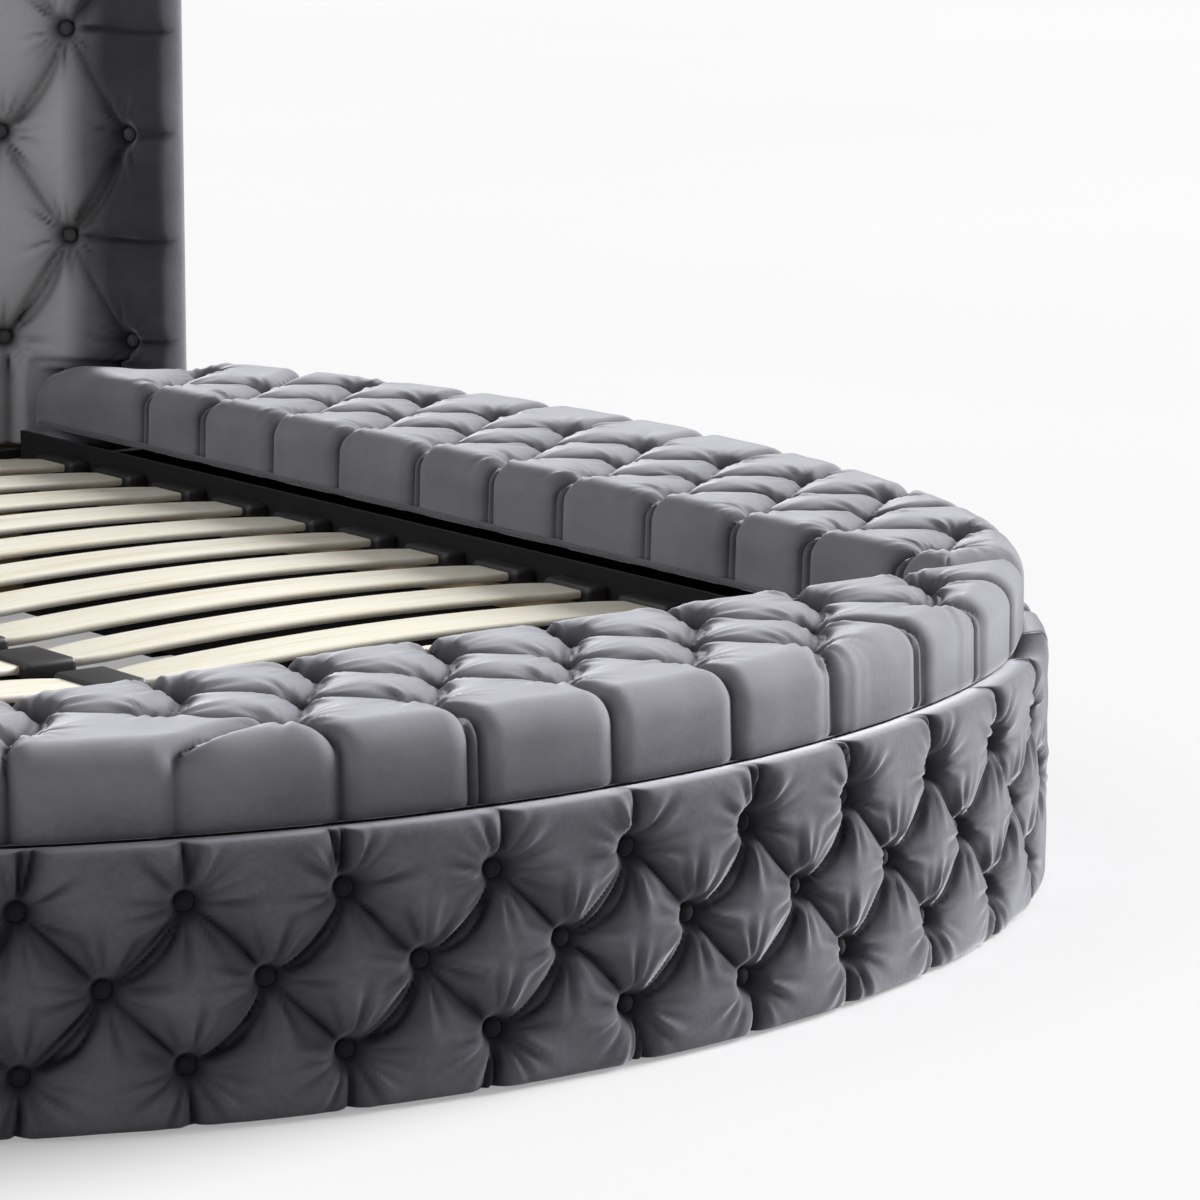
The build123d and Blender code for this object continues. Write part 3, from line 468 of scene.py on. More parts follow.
def side_button_places():
    """Arc length and height of every button round the base, away from the benches' ends."""
    found = []
    for row, height in enumerate(SIDE_ROWS):
        s = lattice(TUFT_PITCH, TUFT_SHIFT + (TUFT_PITCH / 2 if row % 2 else 0), HALF_ROUND)
        y = along(BASE, s, BUTTON_LINE)[1]
        beside = (y > CHORD + BENCH_END_MARGIN) & (y < TIP - BENCH_END_MARGIN)
        found += [(place, height) for place in s[(y < CHORD - BENCH_END_MARGIN) | beside]]
    return np.array(found)


side_buttons = side_button_places()
top_row = side_buttons[side_buttons[:, 1] == SIDE_ROWS[0]]
low_row = side_buttons[side_buttons[:, 1] == SIDE_ROWS[2]]
side_folds = diamond_folds(
    side_buttons, TUFT_PITCH / 2, SIDE_ROWS[1] - SIDE_ROWS[0], SIDE_FOLD_ENDS, SIDE_FOLD_MIDDLE
)
to_seam = [(s, SEAM + PLEAT_OVERRUN) for s, _ in top_row]
to_hem = [(s, HEM - PLEAT_OVERRUN) for s, _ in low_row]
side_folds += edge_pleats(top_row, to_seam, SIDE_FOLD_ENDS, SIDE_TOP_PLEAT)
side_folds += edge_pleats(low_row, to_hem, SIDE_FOLD_ENDS, SIDE_FOOT_PLEAT, double=0.25)


def drawn_in(height, low, high, amount=0.009, over=0.014):
    """How far a padded edge curls inwards near its seam or hem: a quarter of an ellipse."""
    near = np.clip((over - np.minimum(height - low, high - height)) / over, 0, 1)
    return amount * (1 - np.sqrt(1 - near**2))


def clear_of_swing(y, z):
    """Heights pressed down above PRESSED_FROM where the foot lid's inner edge swings past: a circle
    of SWING_ROOM round the lid's hinge line cuts into the seam there."""
    reach = np.sqrt(np.maximum(SWING_ROOM**2 - (y - FOOT_HINGE_Y) ** 2, 0)).max(0)
    top = np.minimum(HINGE_HEIGHT - reach, SEAM)
    pressed = PRESSED_FROM + (z - PRESSED_FROM) * (top - PRESSED_FROM) / (SEAM - PRESSED_FROM)
    return np.where(z > PRESSED_FROM, pressed, z)


def side_skin(name, begins, ends):
    """One bench's skin: the outline carried up from hem to seam. The front and the back sheet each
    run between the two end joints at their own offset, so that the joints are flat."""
    z = HEM + spaced(SEAM - HEM, SIDE_MESH_UP)
    outer, inner = [np.array([begins(out), ends(out)]) for out in (0.0, -PADDING)]
    length = outer[1] - outer[0]
    height, part = np.meshgrid(z, spaced(length, SIDE_MESH_ALONG) / length, indexing="ij")
    s = outer[0] + part * length
    depth, shade = quilted(s, height, side_buttons, side_folds, SIDE_PIT, SIDE_FOLD_REACH)
    near = np.minimum(np.minimum(part, 1 - part) * length / JOINT_OVER, 1)
    joint = JOINT_IN * (1 - np.sqrt(near * (2 - near)))
    out = PLUMP - drawn_in(height, HEM, SEAM) - depth - joint
    x, y, _, _ = along(BASE, s, out)
    front = np.stack([x, y, clear_of_swing(y, height)], 2)
    s_back = inner[0] + part * (inner[1] - inner[0])
    x, y, _, _ = along(BASE, s_back, np.full_like(s, LINING_GAP - PADDING))
    back = np.stack([x, y, clear_of_swing(y, height)], 2)
    # The sides keep the shaded tone of the painted light, with painted shade in their folds.
    return two_sheets(name, front, back, velvet, shade)


def skin_end(y, hand=1):
    """The arc length of a flat end joint, for any offset."""
    return lambda out: hand * length_where(BASE, y, out)


side_skins = {
    "foot": side_skin("foot_side_skin", skin_end(CHORD, -1), skin_end(CHORD)),
    "right": side_skin("right_side_skin", skin_end(CHORD), skin_end(TIP)),
    "left": side_skin("left_side_skin", skin_end(TIP, -1), skin_end(CHORD, -1)),
}
for name, piece in side_skins.items():
    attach(piece, "bed_frame")
    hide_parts(name + "_side_cover")


# Covered buttons of the sides
# A velvet-covered metal button, pulled down on a cord until it sits on the floor of its pit.

BUTTON = (
    (0.0, -0.0010), (0.0084, -0.0010), (0.0096, 0.0012), (0.0090, 0.0040), (0.0062, 0.0064), (0.0, 0.0076)
)
BUTTON_SIDES = 12
BUTTON_SHADE = 0.86
button_velvet = velvet_finish("button_velvet", 0.25)


def tube_faces(rows, columns):
    """Quads round and along a tube of rows of points, each row closed on itself."""
    row, column = np.meshgrid(np.arange(rows - 1), np.arange(columns), indexing="ij")
    here, after = row * columns + column, row * columns + (column + 1) % columns
    return quads(here, after, after + columns, here + columns)


def button_domes(name, places, headings, body, node, nap=0.0):
    """Domes at places: a profile of radius and height turned round each button's heading."""
    ahead = np.asarray(headings, float)
    up = np.where(np.abs(ahead[:, 2:]) > 0.5, np.array([[1.0, 0, 0]]), np.array([[0, 0, 1.0]]))
    across = np.cross(up, ahead)
    across /= np.linalg.norm(across, axis=1)[:, None]
    other = np.cross(ahead, across)
    profile = np.array(BUTTON)
    angle = 2 * np.pi * np.arange(BUTTON_SIDES) / BUTTON_SIDES
    ring = np.cos(angle)[None, :, None] * across[:, None, :]
    ring = ring + np.sin(angle)[None, :, None] * other[:, None, :]
    points = (
        np.asarray(places)[:, None, None, :]
        + profile[None, :, 0, None, None] * ring[:, None, :, :]
        + profile[None, :, 1, None, None] * ahead[:, None, None, :]
    )
    rows = len(profile)
    faces = tube_faces(rows, BUTTON_SIDES)[None] + rows * BUTTON_SIDES * np.arange(len(points))[:, None, None]
    faces, points = faces.reshape(-1, 4), points.reshape(-1, 3)
    shade = np.full(len(points), BUTTON_SHADE)
    piece = make_piece(name, points, faces, button_velvet, shade, SAME_POINT, nap)
    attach(piece, body)
    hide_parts(node)
    return piece


x, y, heading_x, heading_y = along(BASE, side_buttons[:, 0], SIDE_FLOOR)
side_places = np.stack([x, y, side_buttons[:, 1]], 1)
side_headings = np.stack([heading_x, heading_y, 0 * x], 1)
for name, kept in (("foot", y < CHORD), ("right", (y > CHORD) & (x > 0)), ("left", (y > CHORD) & (x < 0))):
    button_domes(
        name + "_side_button_domes",
        side_places[kept],
        side_headings[kept],
        "bed_frame",
        name + "_side_buttons",
    )


# Lift-up lids
# Each bench has a padded lid: foam over a plywood board, wrapped in the same velvet and buttoned
# in rows along its straight edge. Pleats run from the outer buttons over the rounded shoulder and
# down the faces, and a piping welt finishes the lower edge that faces the well.

LID_FOOT = 0.278
LID_HEM = 0.2746
LID_TOP = 0.366
LID_FLOOR = 0.335
LID_SHOULDER = 0.034
LID_INSET = 0.020
TAIL_SHOULDER = 0.034
TAIL_FROM = 0.82
TAIL_OVER = 0.18
LID_BOARD_TOP = 0.2935
LID_RIM = 0.0145
LID_CORNER = 0.024
# The lids' painted light tone: the lit one.
LID_LIGHT_TONE = 1.0
LID_FOLD_ENDS = 0.0290
LID_FOLD_MIDDLE = 0.0200
LID_EDGE_PLEAT = 0.0150
LID_FOLD_REACH = 0.056
LID_SLACK = 0.0009
LONGEST_PLEAT = 0.17
LID_MESH_ALONG = 0.0042
NARROW = 0.105
NARROW_OVER = 0.02
HEM_CURL = 0.004
CURL_FROM = 0.83
CURL_OVER = 0.17
HEM_QUILT = 0.70
MORE_QUILT = 0.30
UNDER_IN = 0.004
FOAM_LEAST = 0.004
CORNER_POINTS = 15
CORNER_MIDDLE = 7
WELL = 0.768
LID_FRONT = CHORD + 0.008
LID_BACK = TIP - 0.012
LID_ROWS = 0.095
FIRST_ROW = 0.062
HINGE_IN = 0.052
FOOT_HINGES_X = (-0.345, 0.287)
SIDE_HINGES_Y = (-0.433, 0.515)
HEAD_RADII = (2.200, 0.280)
HEAD_TURN = 18.5
HEADBOARD = arc_line(1.216, 1, HEAD_RADII, (HEAD_TURN, 90))
HALF_HEAD = 1.1
TAIL = 1.0554
TAIL_GAP = -0.010


def cut_line(points, start, stop):
    """A polyline between two arc lengths, with a point about every 4 mm."""
    steps = np.hypot(*np.diff(points, axis=0).T)
    walked = np.concatenate([[0], np.cumsum(steps)])
    stop = walked[-1] - stop
    places = np.linspace(start, stop, max(3, round((stop - start) / 0.004)))
    return np.stack([np.interp(places, walked, points[:, axis]) for axis in (0, 1)], 1)


def eased_ring(runs, radius):
    """The runs of a closed boundary and, after each, the arc that eases the corner where it meets the
    next: a rational curve of the second degree whose middle weight is the sine of half the angle."""
    corners = []
    for run, following in zip(runs, runs[1:] + runs[:1]):
        back = run[-1 - CORNER_MIDDLE] - run[-1]
        ahead = following[CORNER_MIDDLE] - following[0]
        cosine = back @ ahead / np.linalg.norm(back) / np.linalg.norm(ahead)
        half = math.acos(np.clip(cosine, -1, 1)) / 2
        corners.append((half, radius / math.tan(half)))
    trimmed = [
        cut_line(run, corners[number - 1][1], corners[number][1]) for number, run in enumerate(runs)
    ]
    pieces = []
    for number, run in enumerate(trimmed):
        start, stop = run[-1], trimmed[(number + 1) % len(runs)][0]
        corner, weight = runs[number][-1], math.sin(corners[number][0])
        u = np.linspace(0, 1, CORNER_POINTS)[:, None]
        weights = (1 - u) ** 2, 2 * u * (1 - u) * weight, u**2
        arc = (weights[0] * start + weights[1] * corner + weights[2] * stop) / sum(weights)
        pieces += [run, arc]
    return pieces


def straight(a, b):
    """Points on a straight line, 2 mm apart."""
    a, b = np.array(a, float), np.array(b, float)
    count = max(12, round(float(np.hypot(*(b - a))) / 0.002))
    return a + (b - a) * np.linspace(0, 1, count)[:, None]


def curved(line, out, s_from, s_to):
    """Points on a line of arcs, 2 mm apart."""
    s = np.linspace(s_from, s_to, max(12, round(abs(s_to - s_from) / 0.002)))
    x, y, _, _ = along(line, s, out)
    return np.stack([x, y], 1)


def joined(*parts):
    """Polylines end to end, without the repeated points."""
    points = np.concatenate(parts)
    kept = np.concatenate([[True], np.hypot(*np.diff(points, axis=0).T) > 1e-6])
    return points[kept]


def two_edges(ring):
    """A closed boundary parted in the middle of its last and second pieces, both corners: the
    straight inner edge, and the rest, walked from the same end."""
    inner = joined(ring[-1][CORNER_MIDDLE:], ring[0], ring[1][:CORNER_MIDDLE + 1])
    rest = [piece[::-1] for piece in ring[-2:1:-1]]
    outer = joined(ring[-1][:CORNER_MIDDLE + 1][::-1], *rest, ring[1][CORNER_MIDDLE:][::-1])
    return inner, outer


def resampled(points, shares):
    """Places at shares of a polyline's length."""
    steps = np.hypot(*np.diff(points, axis=0).T)
    walked = np.concatenate([[0], np.cumsum(steps)])
    return np.stack([np.interp(shares * walked[-1], walked, points[:, axis]) for axis in (0, 1)], 1)


def distance_to_ring(x, y, ring):
    """The distance from each place to the nearest stretch of a closed boundary."""
    ends = np.roll(ring, -1, axis=0)
    best = np.full(x.size, 1e9)
    flat_x, flat_y = x.ravel(), y.ravel()
    for start in range(0, x.size, 3000):
        px = flat_x[start:start + 3000, None] - ring[None, :, 0]
        py = flat_y[start:start + 3000, None] - ring[None, :, 1]
        dx, dy = (ends - ring).T
        u = np.clip((px * dx + py * dy) / np.maximum(dx**2 + dy**2, 1e-12), 0, 1)
        best[start:start + 3000] = np.hypot(px - u * dx, py - u * dy).min(1)
    return best.reshape(x.shape)


def grid_normals(sheet):
    """The unit normals of a sheet, from the cross product of its two directions."""
    along_rows, along_columns = np.gradient(sheet, axis=0), np.gradient(sheet, axis=1)
    normals = np.cross(along_columns, along_rows)
    lengths = np.linalg.norm(normals, axis=2, keepdims=True)
    normals = normals / np.maximum(lengths, 1e-12)
    normals[:, 0], normals[:, -1] = normals[:, 2], normals[:, -3]
    normals[:, 1], normals[:, -2] = normals[:, 2], normals[:, -3]
    return normals


def pocket_roof(x, y, hinges):
    """The underside of a lid's foam: flat on its board, and sloped above it over each hinge's arm."""
    roof = np.full(x.shape, LID_BOARD_TOP)
    for hinge_x, hinge_y, heading_x, heading_y in hinges:
        ahead = (x - hinge_x) * heading_x + (y - hinge_y) * heading_y
        aside = np.abs((x - hinge_x) * heading_y - (y - hinge_y) * heading_x)
        inside = (ahead > -0.027) & (ahead < 0.106) & (aside < 0.030)
        slope = np.interp(ahead, (0.017, 0.102), (0.345, 0.300))
        roof = np.where(inside, np.maximum(roof, slope), roof)
    return roof


def lid_skin(name, inner, outer, buttons, folds, hinges, mirror=False):
    """A lid as a ruled sheet between its straight edge and its outer boundary, both walked from
    tip to tip. It rises on both faces, rolls over a quarter circle at the shoulder and is quilted
    along its own normals. The back sheet is the rim, the board's recess and the hinge pockets. The
    hem stays up at LID_FOOT where the lid is narrow."""
    length = float(np.hypot(*np.diff(outer, axis=0).T).sum())
    shares = spaced(length, LID_MESH_ALONG, (0, 0.0006, 0.0018, 0.0036, 0.006, 0.009, 0.0125)) / length
    line_in, line_out = resampled(inner, shares), resampled(outer, shares)
    width = np.hypot(*(line_out - line_in).T)
    near = np.array([0, 0.0004, 0.0016, 0.0036, 0.0064, 0.010, 0.0145, 0.020, 0.026, 0.033])
    middle = np.linspace(0, 1, 68)[1:-1]
    start = np.minimum(near[:, None], width[None] * 0.5 * (near[:, None] / near[-1]))
    stretch = width[None] - 2 * start[-1:]
    across = np.concatenate([start, start[-1:] + middle[:, None] * stretch, width[None] - start[::-1]])
    part = across / np.maximum(width[None], 1e-9)
    x = line_in[None, :, 0] * (1 - part) + line_out[None, :, 0] * part
    y = line_in[None, :, 1] * (1 - part) + line_out[None, :, 1] * part
    ring = np.concatenate([inner, outer[::-1][1:-1]])[::2]
    inward = distance_to_ring(x, y, ring)
    shoulder = LID_SHOULDER + TAIL_SHOULDER * np.clip((y - TAIL_FROM) / TAIL_OVER, 0, 1) ** 1.5
    roll = np.clip((shoulder - inward) / shoulder, 0, 1)
    top = LID_TOP - shoulder * (1 - np.sqrt(1 - roll**2))
    down = np.array([1, 0.97, 0.91, 0.83, 0.74, 0.64, 0.53, 0.42, 0.31, 0.20, 0.10, 0.03])
    hem = LID_HEM + (LID_FOOT - LID_HEM) * np.clip((NARROW - width) / NARROW_OVER, 0, 1)
    rising = [edge - down[:, None] * (edge - foot) for edge, foot in ((top[:1], LID_FOOT), (top[-1:], hem))]
    hem_in = HEM_CURL * np.clip((down - CURL_FROM) / CURL_OVER, 0, 1) ** 2

    def faced(values):
        """A sheet of values whose first and last row also fill the face below them."""
        count = len(down)
        return np.concatenate([np.repeat(values[:1], count, 0), values, np.repeat(values[-1:], count, 0)])

    all_x, all_y = faced(x), faced(y)
    sheet = np.stack([all_x, all_y, np.concatenate([rising[0], top, rising[1][::-1]])], 2)
    normals = grid_normals(sheet)
    pull = np.zeros(sheet.shape[:2])
    pull[: len(down)] = hem_in[:, None]
    pull[-len(down):] = hem_in[::-1, None]
    depth, shade = quilted(all_x, all_y, buttons, folds, LID_TOP - LID_FLOOR, LID_FOLD_REACH, LID_SLACK)
    on_face = np.ones(sheet.shape[:2])
    on_face[: len(down)] = (HEM_QUILT + MORE_QUILT * (1 - down))[:, None]
    on_face[-len(down):] = (HEM_QUILT + MORE_QUILT * (1 - down))[::-1, None]
    # Painted light: the lid is painted in the lit tone, and its outer face fades to the shaded tone towards
    # the hem.
    nap = np.ones(sheet.shape[:2])
    nap[-len(down):] = (1 - down)[::-1, None]
    front = sheet - normals * (depth * on_face + pull)[..., None]
    under_hem = hem + (LID_FOOT - hem) * np.clip(2 - 4 * part, 0, 1)
    cloth = front[len(down):-len(down), :, 2]
    roof = np.minimum(pocket_roof(x, y, hinges), np.maximum(cloth - FOAM_LEAST, LID_BOARD_TOP))
    board = np.where(inward - 0.001 > LID_RIM, roof, under_hem + 0.0004)
    margin = UNDER_IN / np.maximum(width, 2 * UNDER_IN)
    under_part = np.clip(faced(part), margin, 1 - margin)
    under_x = line_in[None, :, 0] * (1 - under_part) + line_out[None, :, 0] * under_part
    under_y = line_in[None, :, 1] * (1 - under_part) + line_out[None, :, 1] * under_part
    back = np.stack([under_x, under_y, faced(board)], 2)
    if mirror:
        front, back, shade, nap = [sheet[:, ::-1].copy() for sheet in (front, back, shade, nap)]
        front[..., 0] *= -1
        back[..., 0] *= -1
    return two_sheets(name, front, back, velvet, shade * on_face, np.stack([nap, 0 * nap]))


def shoulder_pleats(buttons, places):
    """Pleats over the outer shoulder, to each place along the boundary from the button nearest to it."""
    starts, stops = [], []
    for place in places:
        x, y, _, _ = along(BASE, np.array([place]), -LID_INSET)
        gaps = np.hypot(buttons[:, 0] - x, buttons[:, 1] - y)
        nearest = int(np.argmin(gaps))
        if gaps[nearest] < LONGEST_PLEAT:
            starts.append(buttons[nearest])
            stops.append((float(x[0]), float(y[0])))
    return edge_pleats(starts, stops, LID_FOLD_ENDS, LID_EDGE_PLEAT)


def kept_inside(places, ring, margin=0.048):
    """The places at least a margin inside a closed boundary, found by counting crossings."""
    ends = np.roll(ring, -1, axis=0)
    x, y = places[:, 0, None], places[:, 1, None]
    crosses = (ring[:, 1] > y) != (ends[:, 1] > y)
    rise = np.where(ends[:, 1] == ring[:, 1], 1e-12, ends[:, 1] - ring[:, 1])
    at = ring[:, 0] + (y - ring[:, 1]) / rise * (ends[:, 0] - ring[:, 0])
    inside = (crosses & (x < at)).sum(1) % 2 == 1
    return places[inside & (distance_to_ring(places[:, 0], places[:, 1], ring) > margin)]


chord_end = length_where(BASE, CHORD, -LID_INSET)
chord_x = float(along(BASE, np.array([chord_end]), -LID_INSET)[0][0])
foot_ring = eased_ring(
    [straight((-chord_x, CHORD), (chord_x, CHORD)), curved(BASE, -LID_INSET, chord_end, -chord_end)],
    LID_CORNER,
)
foot_inner, foot_outer = two_edges(foot_ring)
foot_rows = [
    (s, CHORD - FIRST_ROW - row * LID_ROWS)
    for row in range(4)
    for s in lattice(TUFT_PITCH, TUFT_SHIFT + (TUFT_PITCH / 2 if row % 2 else 0), 1.2)
]
foot_buttons = kept_inside(np.array(foot_rows), np.concatenate([foot_inner, foot_outer[::-1][1:-1]]))
first = foot_buttons[foot_buttons[:, 1] > CHORD - FIRST_ROW - 0.01]
foot_folds = diamond_folds(foot_buttons, TUFT_PITCH / 2, -LID_ROWS, LID_FOLD_ENDS, LID_FOLD_MIDDLE)
foot_folds += edge_pleats(first, [(x, CHORD) for x, _ in first], LID_FOLD_ENDS, LID_EDGE_PLEAT)
foot_folds += shoulder_pleats(foot_buttons, top_row[np.abs(top_row[:, 0]) < chord_end, 0])
foot_hinges = [(x, CHORD - HINGE_IN, 0.0, -1.0) for x in FOOT_HINGES_X]

side_start = length_where(BASE, LID_FRONT, -LID_INSET)
side_stop = length_where(BASE, LID_BACK, -LID_INSET)
front_x = float(along(BASE, np.array([side_start]), -LID_INSET)[0][0])
back_x = float(along(BASE, np.array([side_stop]), -LID_INSET)[0][0])
tail_start = length_where(HEADBOARD, TAIL, TAIL_GAP, HALF_HEAD)
tail_stop = length_where(HEADBOARD, LID_BACK, TAIL_GAP, HALF_HEAD)
tail = curved(HEADBOARD, TAIL_GAP, tail_start, tail_stop)
side_ring = eased_ring(
    [
        straight((WELL, LID_FRONT), (WELL, tail[0, 1])),
        tail,
        straight(tail[-1], (back_x, LID_BACK)),
        curved(BASE, -LID_INSET, side_stop, side_start),
        straight((front_x, LID_FRONT), (WELL, LID_FRONT)),
    ],
    LID_CORNER,
)
side_inner, side_outer = two_edges(side_ring)
side_rows = [
    (
        WELL + FIRST_ROW + row * LID_ROWS,
        LID_FRONT + TUFT_PITCH * (number + 1 / 2) + (TUFT_PITCH / 2 if row % 2 else 0),
    )
    for row in range(4)
    for number in range(16)
]
side_lid_buttons = kept_inside(np.array(side_rows), np.concatenate([side_inner, side_outer[::-1][1:-1]]))
first = side_lid_buttons[side_lid_buttons[:, 0] < WELL + FIRST_ROW + 0.01]
turned = diamond_folds(side_lid_buttons[:, ::-1], TUFT_PITCH / 2, LID_ROWS, LID_FOLD_ENDS, LID_FOLD_MIDDLE)
side_lid_folds = [(b0, a0, b1, a1, *rest) for a0, b0, a1, b1, *rest in turned]
side_lid_folds += edge_pleats(first, [(WELL, y) for _, y in first], LID_FOLD_ENDS, LID_EDGE_PLEAT)
on_right = top_row[(top_row[:, 0] > side_start) & (top_row[:, 0] < side_stop), 0]
side_lid_folds += shoulder_pleats(side_lid_buttons, on_right)
side_hinges = [(WELL + HINGE_IN, y, 1.0, 0.0) for y in SIDE_HINGES_Y]

foot_shape = (foot_inner[::-1], foot_outer[::-1], foot_buttons, foot_folds, foot_hinges)
side_shape = (side_inner[::-1], side_outer[::-1], side_lid_buttons, side_lid_folds, side_hinges)
lid_skins = {
    "foot_lid": lid_skin("foot_lid_skin", *foot_shape),
    "right_lid": lid_skin("right_lid_skin", *side_shape),
    "left_lid": lid_skin("left_lid_skin", *side_shape, mirror=True),
}
lid_buttons = {
    "foot_lid": foot_buttons,
    "right_lid": side_lid_buttons,
    "left_lid": side_lid_buttons * (-1, 1),
}
for body, piece in lid_skins.items():
    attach(piece, body)
    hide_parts(body + "_cushion")
    places = np.column_stack([lid_buttons[body], np.full(len(lid_buttons[body]), LID_FLOOR)])
    headings = np.tile([0.0, 0.0, 1.0], (len(places), 1))
    button_domes(body + "_button_domes", places, headings, body, body + "_buttons", LID_LIGHT_TONE)


# Piping welts
# A cord in a bias strip of the same velvet, sewn along the lower edge of each lid where it faces
# the well.

WELT_RADIUS = 0.0042
WELT_HEIGHT = LID_FOOT + 0.006
WELT_STANDS_OUT = 0.001
WELT_ENDS = 0.02
WELT_SIDES = 8
STITCH = 0.009
PINCH = 0.07


def loft(points):
    """Quads round and along a tube of sections, rows by columns, with both ends drawn to a point
    at their middles."""
    rows, columns = points.shape[:2]
    ends = [np.repeat(points[row].mean(0)[None], columns, 0)[None] for row in (0, -1)]
    points = np.concatenate([ends[0], points, ends[1]])
    return points.reshape(-1, 3), tube_faces(rows + 2, columns)


def welt(name, line, body, mirror=False):
    """A tube round a polyline: rings of points, each the line's place plus the radius times the
    cosine sideways and the sine upwards. Its stitches pinch it by a share, PINCH, at each STITCH."""
    length = float(np.hypot(*np.diff(line, axis=0).T).sum())
    shares = np.linspace(0, 1, round(length / 0.003))
    middle = resampled(line, shares)
    ahead = np.gradient(middle, axis=0)
    ahead /= np.linalg.norm(ahead, axis=1)[:, None]
    angle = 2 * np.pi * np.arange(WELT_SIDES) / WELT_SIDES
    radius = WELT_RADIUS * (1 - PINCH * (np.sin(np.pi * shares * length / STITCH) ** 8))[:, None]
    sideways = radius * np.cos(angle)
    points = np.stack([
        middle[:, :1] - ahead[:, 1:] * sideways,
        middle[:, 1:] + ahead[:, :1] * sideways,
        WELT_HEIGHT + radius * np.sin(angle),
    ], 2)
    if mirror:
        points = points[:, ::-1] * (-1, 1, 1)
    piece = make_piece(name, *loft(points[:, ::-1]), velvet, None, SAME_POINT)
    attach(piece, body)


side_edge = cut_line(side_ring[0], WELT_ENDS, 0.0) + (WELT_STANDS_OUT, 0)
welt("right_lid_welt", side_edge, "right_lid")
welt("left_lid_welt", side_edge, "left_lid", True)
welt("foot_lid_welt", cut_line(foot_ring[0], WELT_ENDS, WELT_ENDS) - (0, WELT_STANDS_OUT), "foot_lid")


# Headboard
# A curved plywood core with deep foam on its hollow face, buttoned in rows. The velvet is pleated
# from the outer buttons to the top and to the wing tips, and wraps over both. The back has its own
# plain cover of the same velvet over thin padding, stitched in at the edges.

HEAD_FOOT = 0.246
HEAD_TOP = 1.422
HEAD_THICK = 0.084
HEAD_PIT = 0.033
HEAD_PITCH = 0.172
HEAD_ROW_PITCH = 0.142
HEAD_ROWS = 1.244 - HEAD_ROW_PITCH * np.arange(7)
HEAD_ROLL = 0.030
HEAD_FLOOR = 0.030
HEAD_FOLD_ENDS = 0.032
HEAD_FOLD_MIDDLE = 0.0215
CROWN_PLEAT = 0.014
FOOT_PLEAT = 0.020
WING_PLEAT = 0.013
WING_LEAN = 0.004
WING_DOUBLES = 0.2
HEAD_FOLD_REACH = 0.074
HEAD_SLACK = 0.0018
HEAD_CREASE_LINE = 0.0090
HEAD_MESH_ROWS = 218
HEAD_MESH_ALONG = 0.0052
# The headboard's painted light tone: the palest.
HEAD_LIGHT_TONE = 2.0
HEAD_PLUMP = 0.001
CROWN_FALL = 0.10
SIDE_HINGE_X = 0.820
RECESS_FROM = TAIL + 0.004
RECESS_FULL_TO = HINGE_HEIGHT + 0.022
RECESS_TO = HINGE_HEIGHT + 0.036
RECESS_MOST = 1.0
RECESS_ABOVE = 0.018
PAD_BACK = 0.0715
PAD_WRAP = 0.0125
WRAP_HEIGHT = 1.395
WRAP_BAND = 0.052
WING_BAND = 0.105
WING_SOFT_OUT = 0.04
WING_SOFT = 0.07
WING_SHADE = 0.42
WING_TURN = 78
TIP_LENGTH = HEAD_RADII[0] * math.radians(HEAD_TURN) + HEAD_RADII[1] * math.radians(WING_TURN - HEAD_TURN)


def head_button_places():
    """Arc length and height of the headboard's buttons: every second row is moved by half a pitch."""
    found = []
    for row, height in enumerate(HEAD_ROWS):
        s = lattice(HEAD_PITCH, 0 if row % 2 else HEAD_PITCH / 2, HALF_HEAD)
        y = along(HEADBOARD, s, HEAD_FLOOR)[1]
        found += [(place, height) for place in s[(y > TIP + 0.035) & (np.abs(s) < HALF_HEAD)]]
    return np.array(found)


def rolled_edge(rows_up, thickness, radius, back):
    """Offset and height of one sheet of a thick curved panel: straight up, then round a quarter
    circle at its top and flat to the middle of its thickness."""
    turn = np.linspace(0, np.pi / 2, 9)[1:]
    offset = np.concatenate([0 * rows_up, radius * (1 - np.cos(turn)), [thickness / 2]])
    height = np.concatenate([rows_up, HEAD_TOP - radius + radius * np.sin(turn), [HEAD_TOP]])
    return (thickness - offset if back else offset), height


head_buttons = head_button_places()
head_folds = diamond_folds(
    head_buttons, HEAD_PITCH / 2, -HEAD_ROW_PITCH, HEAD_FOLD_ENDS, HEAD_FOLD_MIDDLE
)
crown_row = head_buttons[head_buttons[:, 1] == HEAD_ROWS[0]]
foot_row = head_buttons[head_buttons[:, 1] == HEAD_ROWS[-1]]
each_row = [head_buttons[head_buttons[:, 1] == z] for z in HEAD_ROWS]
outermost = [row[i] for row in each_row for i in (np.argmin(row[:, 0]), np.argmax(row[:, 0]))]
to_tips = [(math.copysign(TIP_LENGTH, s), z) for s, z in outermost]
head_folds += edge_pleats(crown_row, [(s, HEAD_TOP) for s, _ in crown_row], HEAD_FOLD_ENDS, CROWN_PLEAT)
head_folds += edge_pleats(foot_row, [(s, HEAD_FOOT) for s, _ in foot_row], HEAD_FOLD_ENDS, FOOT_PLEAT)
head_folds += edge_pleats(outermost, to_tips, HEAD_FOLD_ENDS, WING_PLEAT, WING_LEAN, WING_DOUBLES)

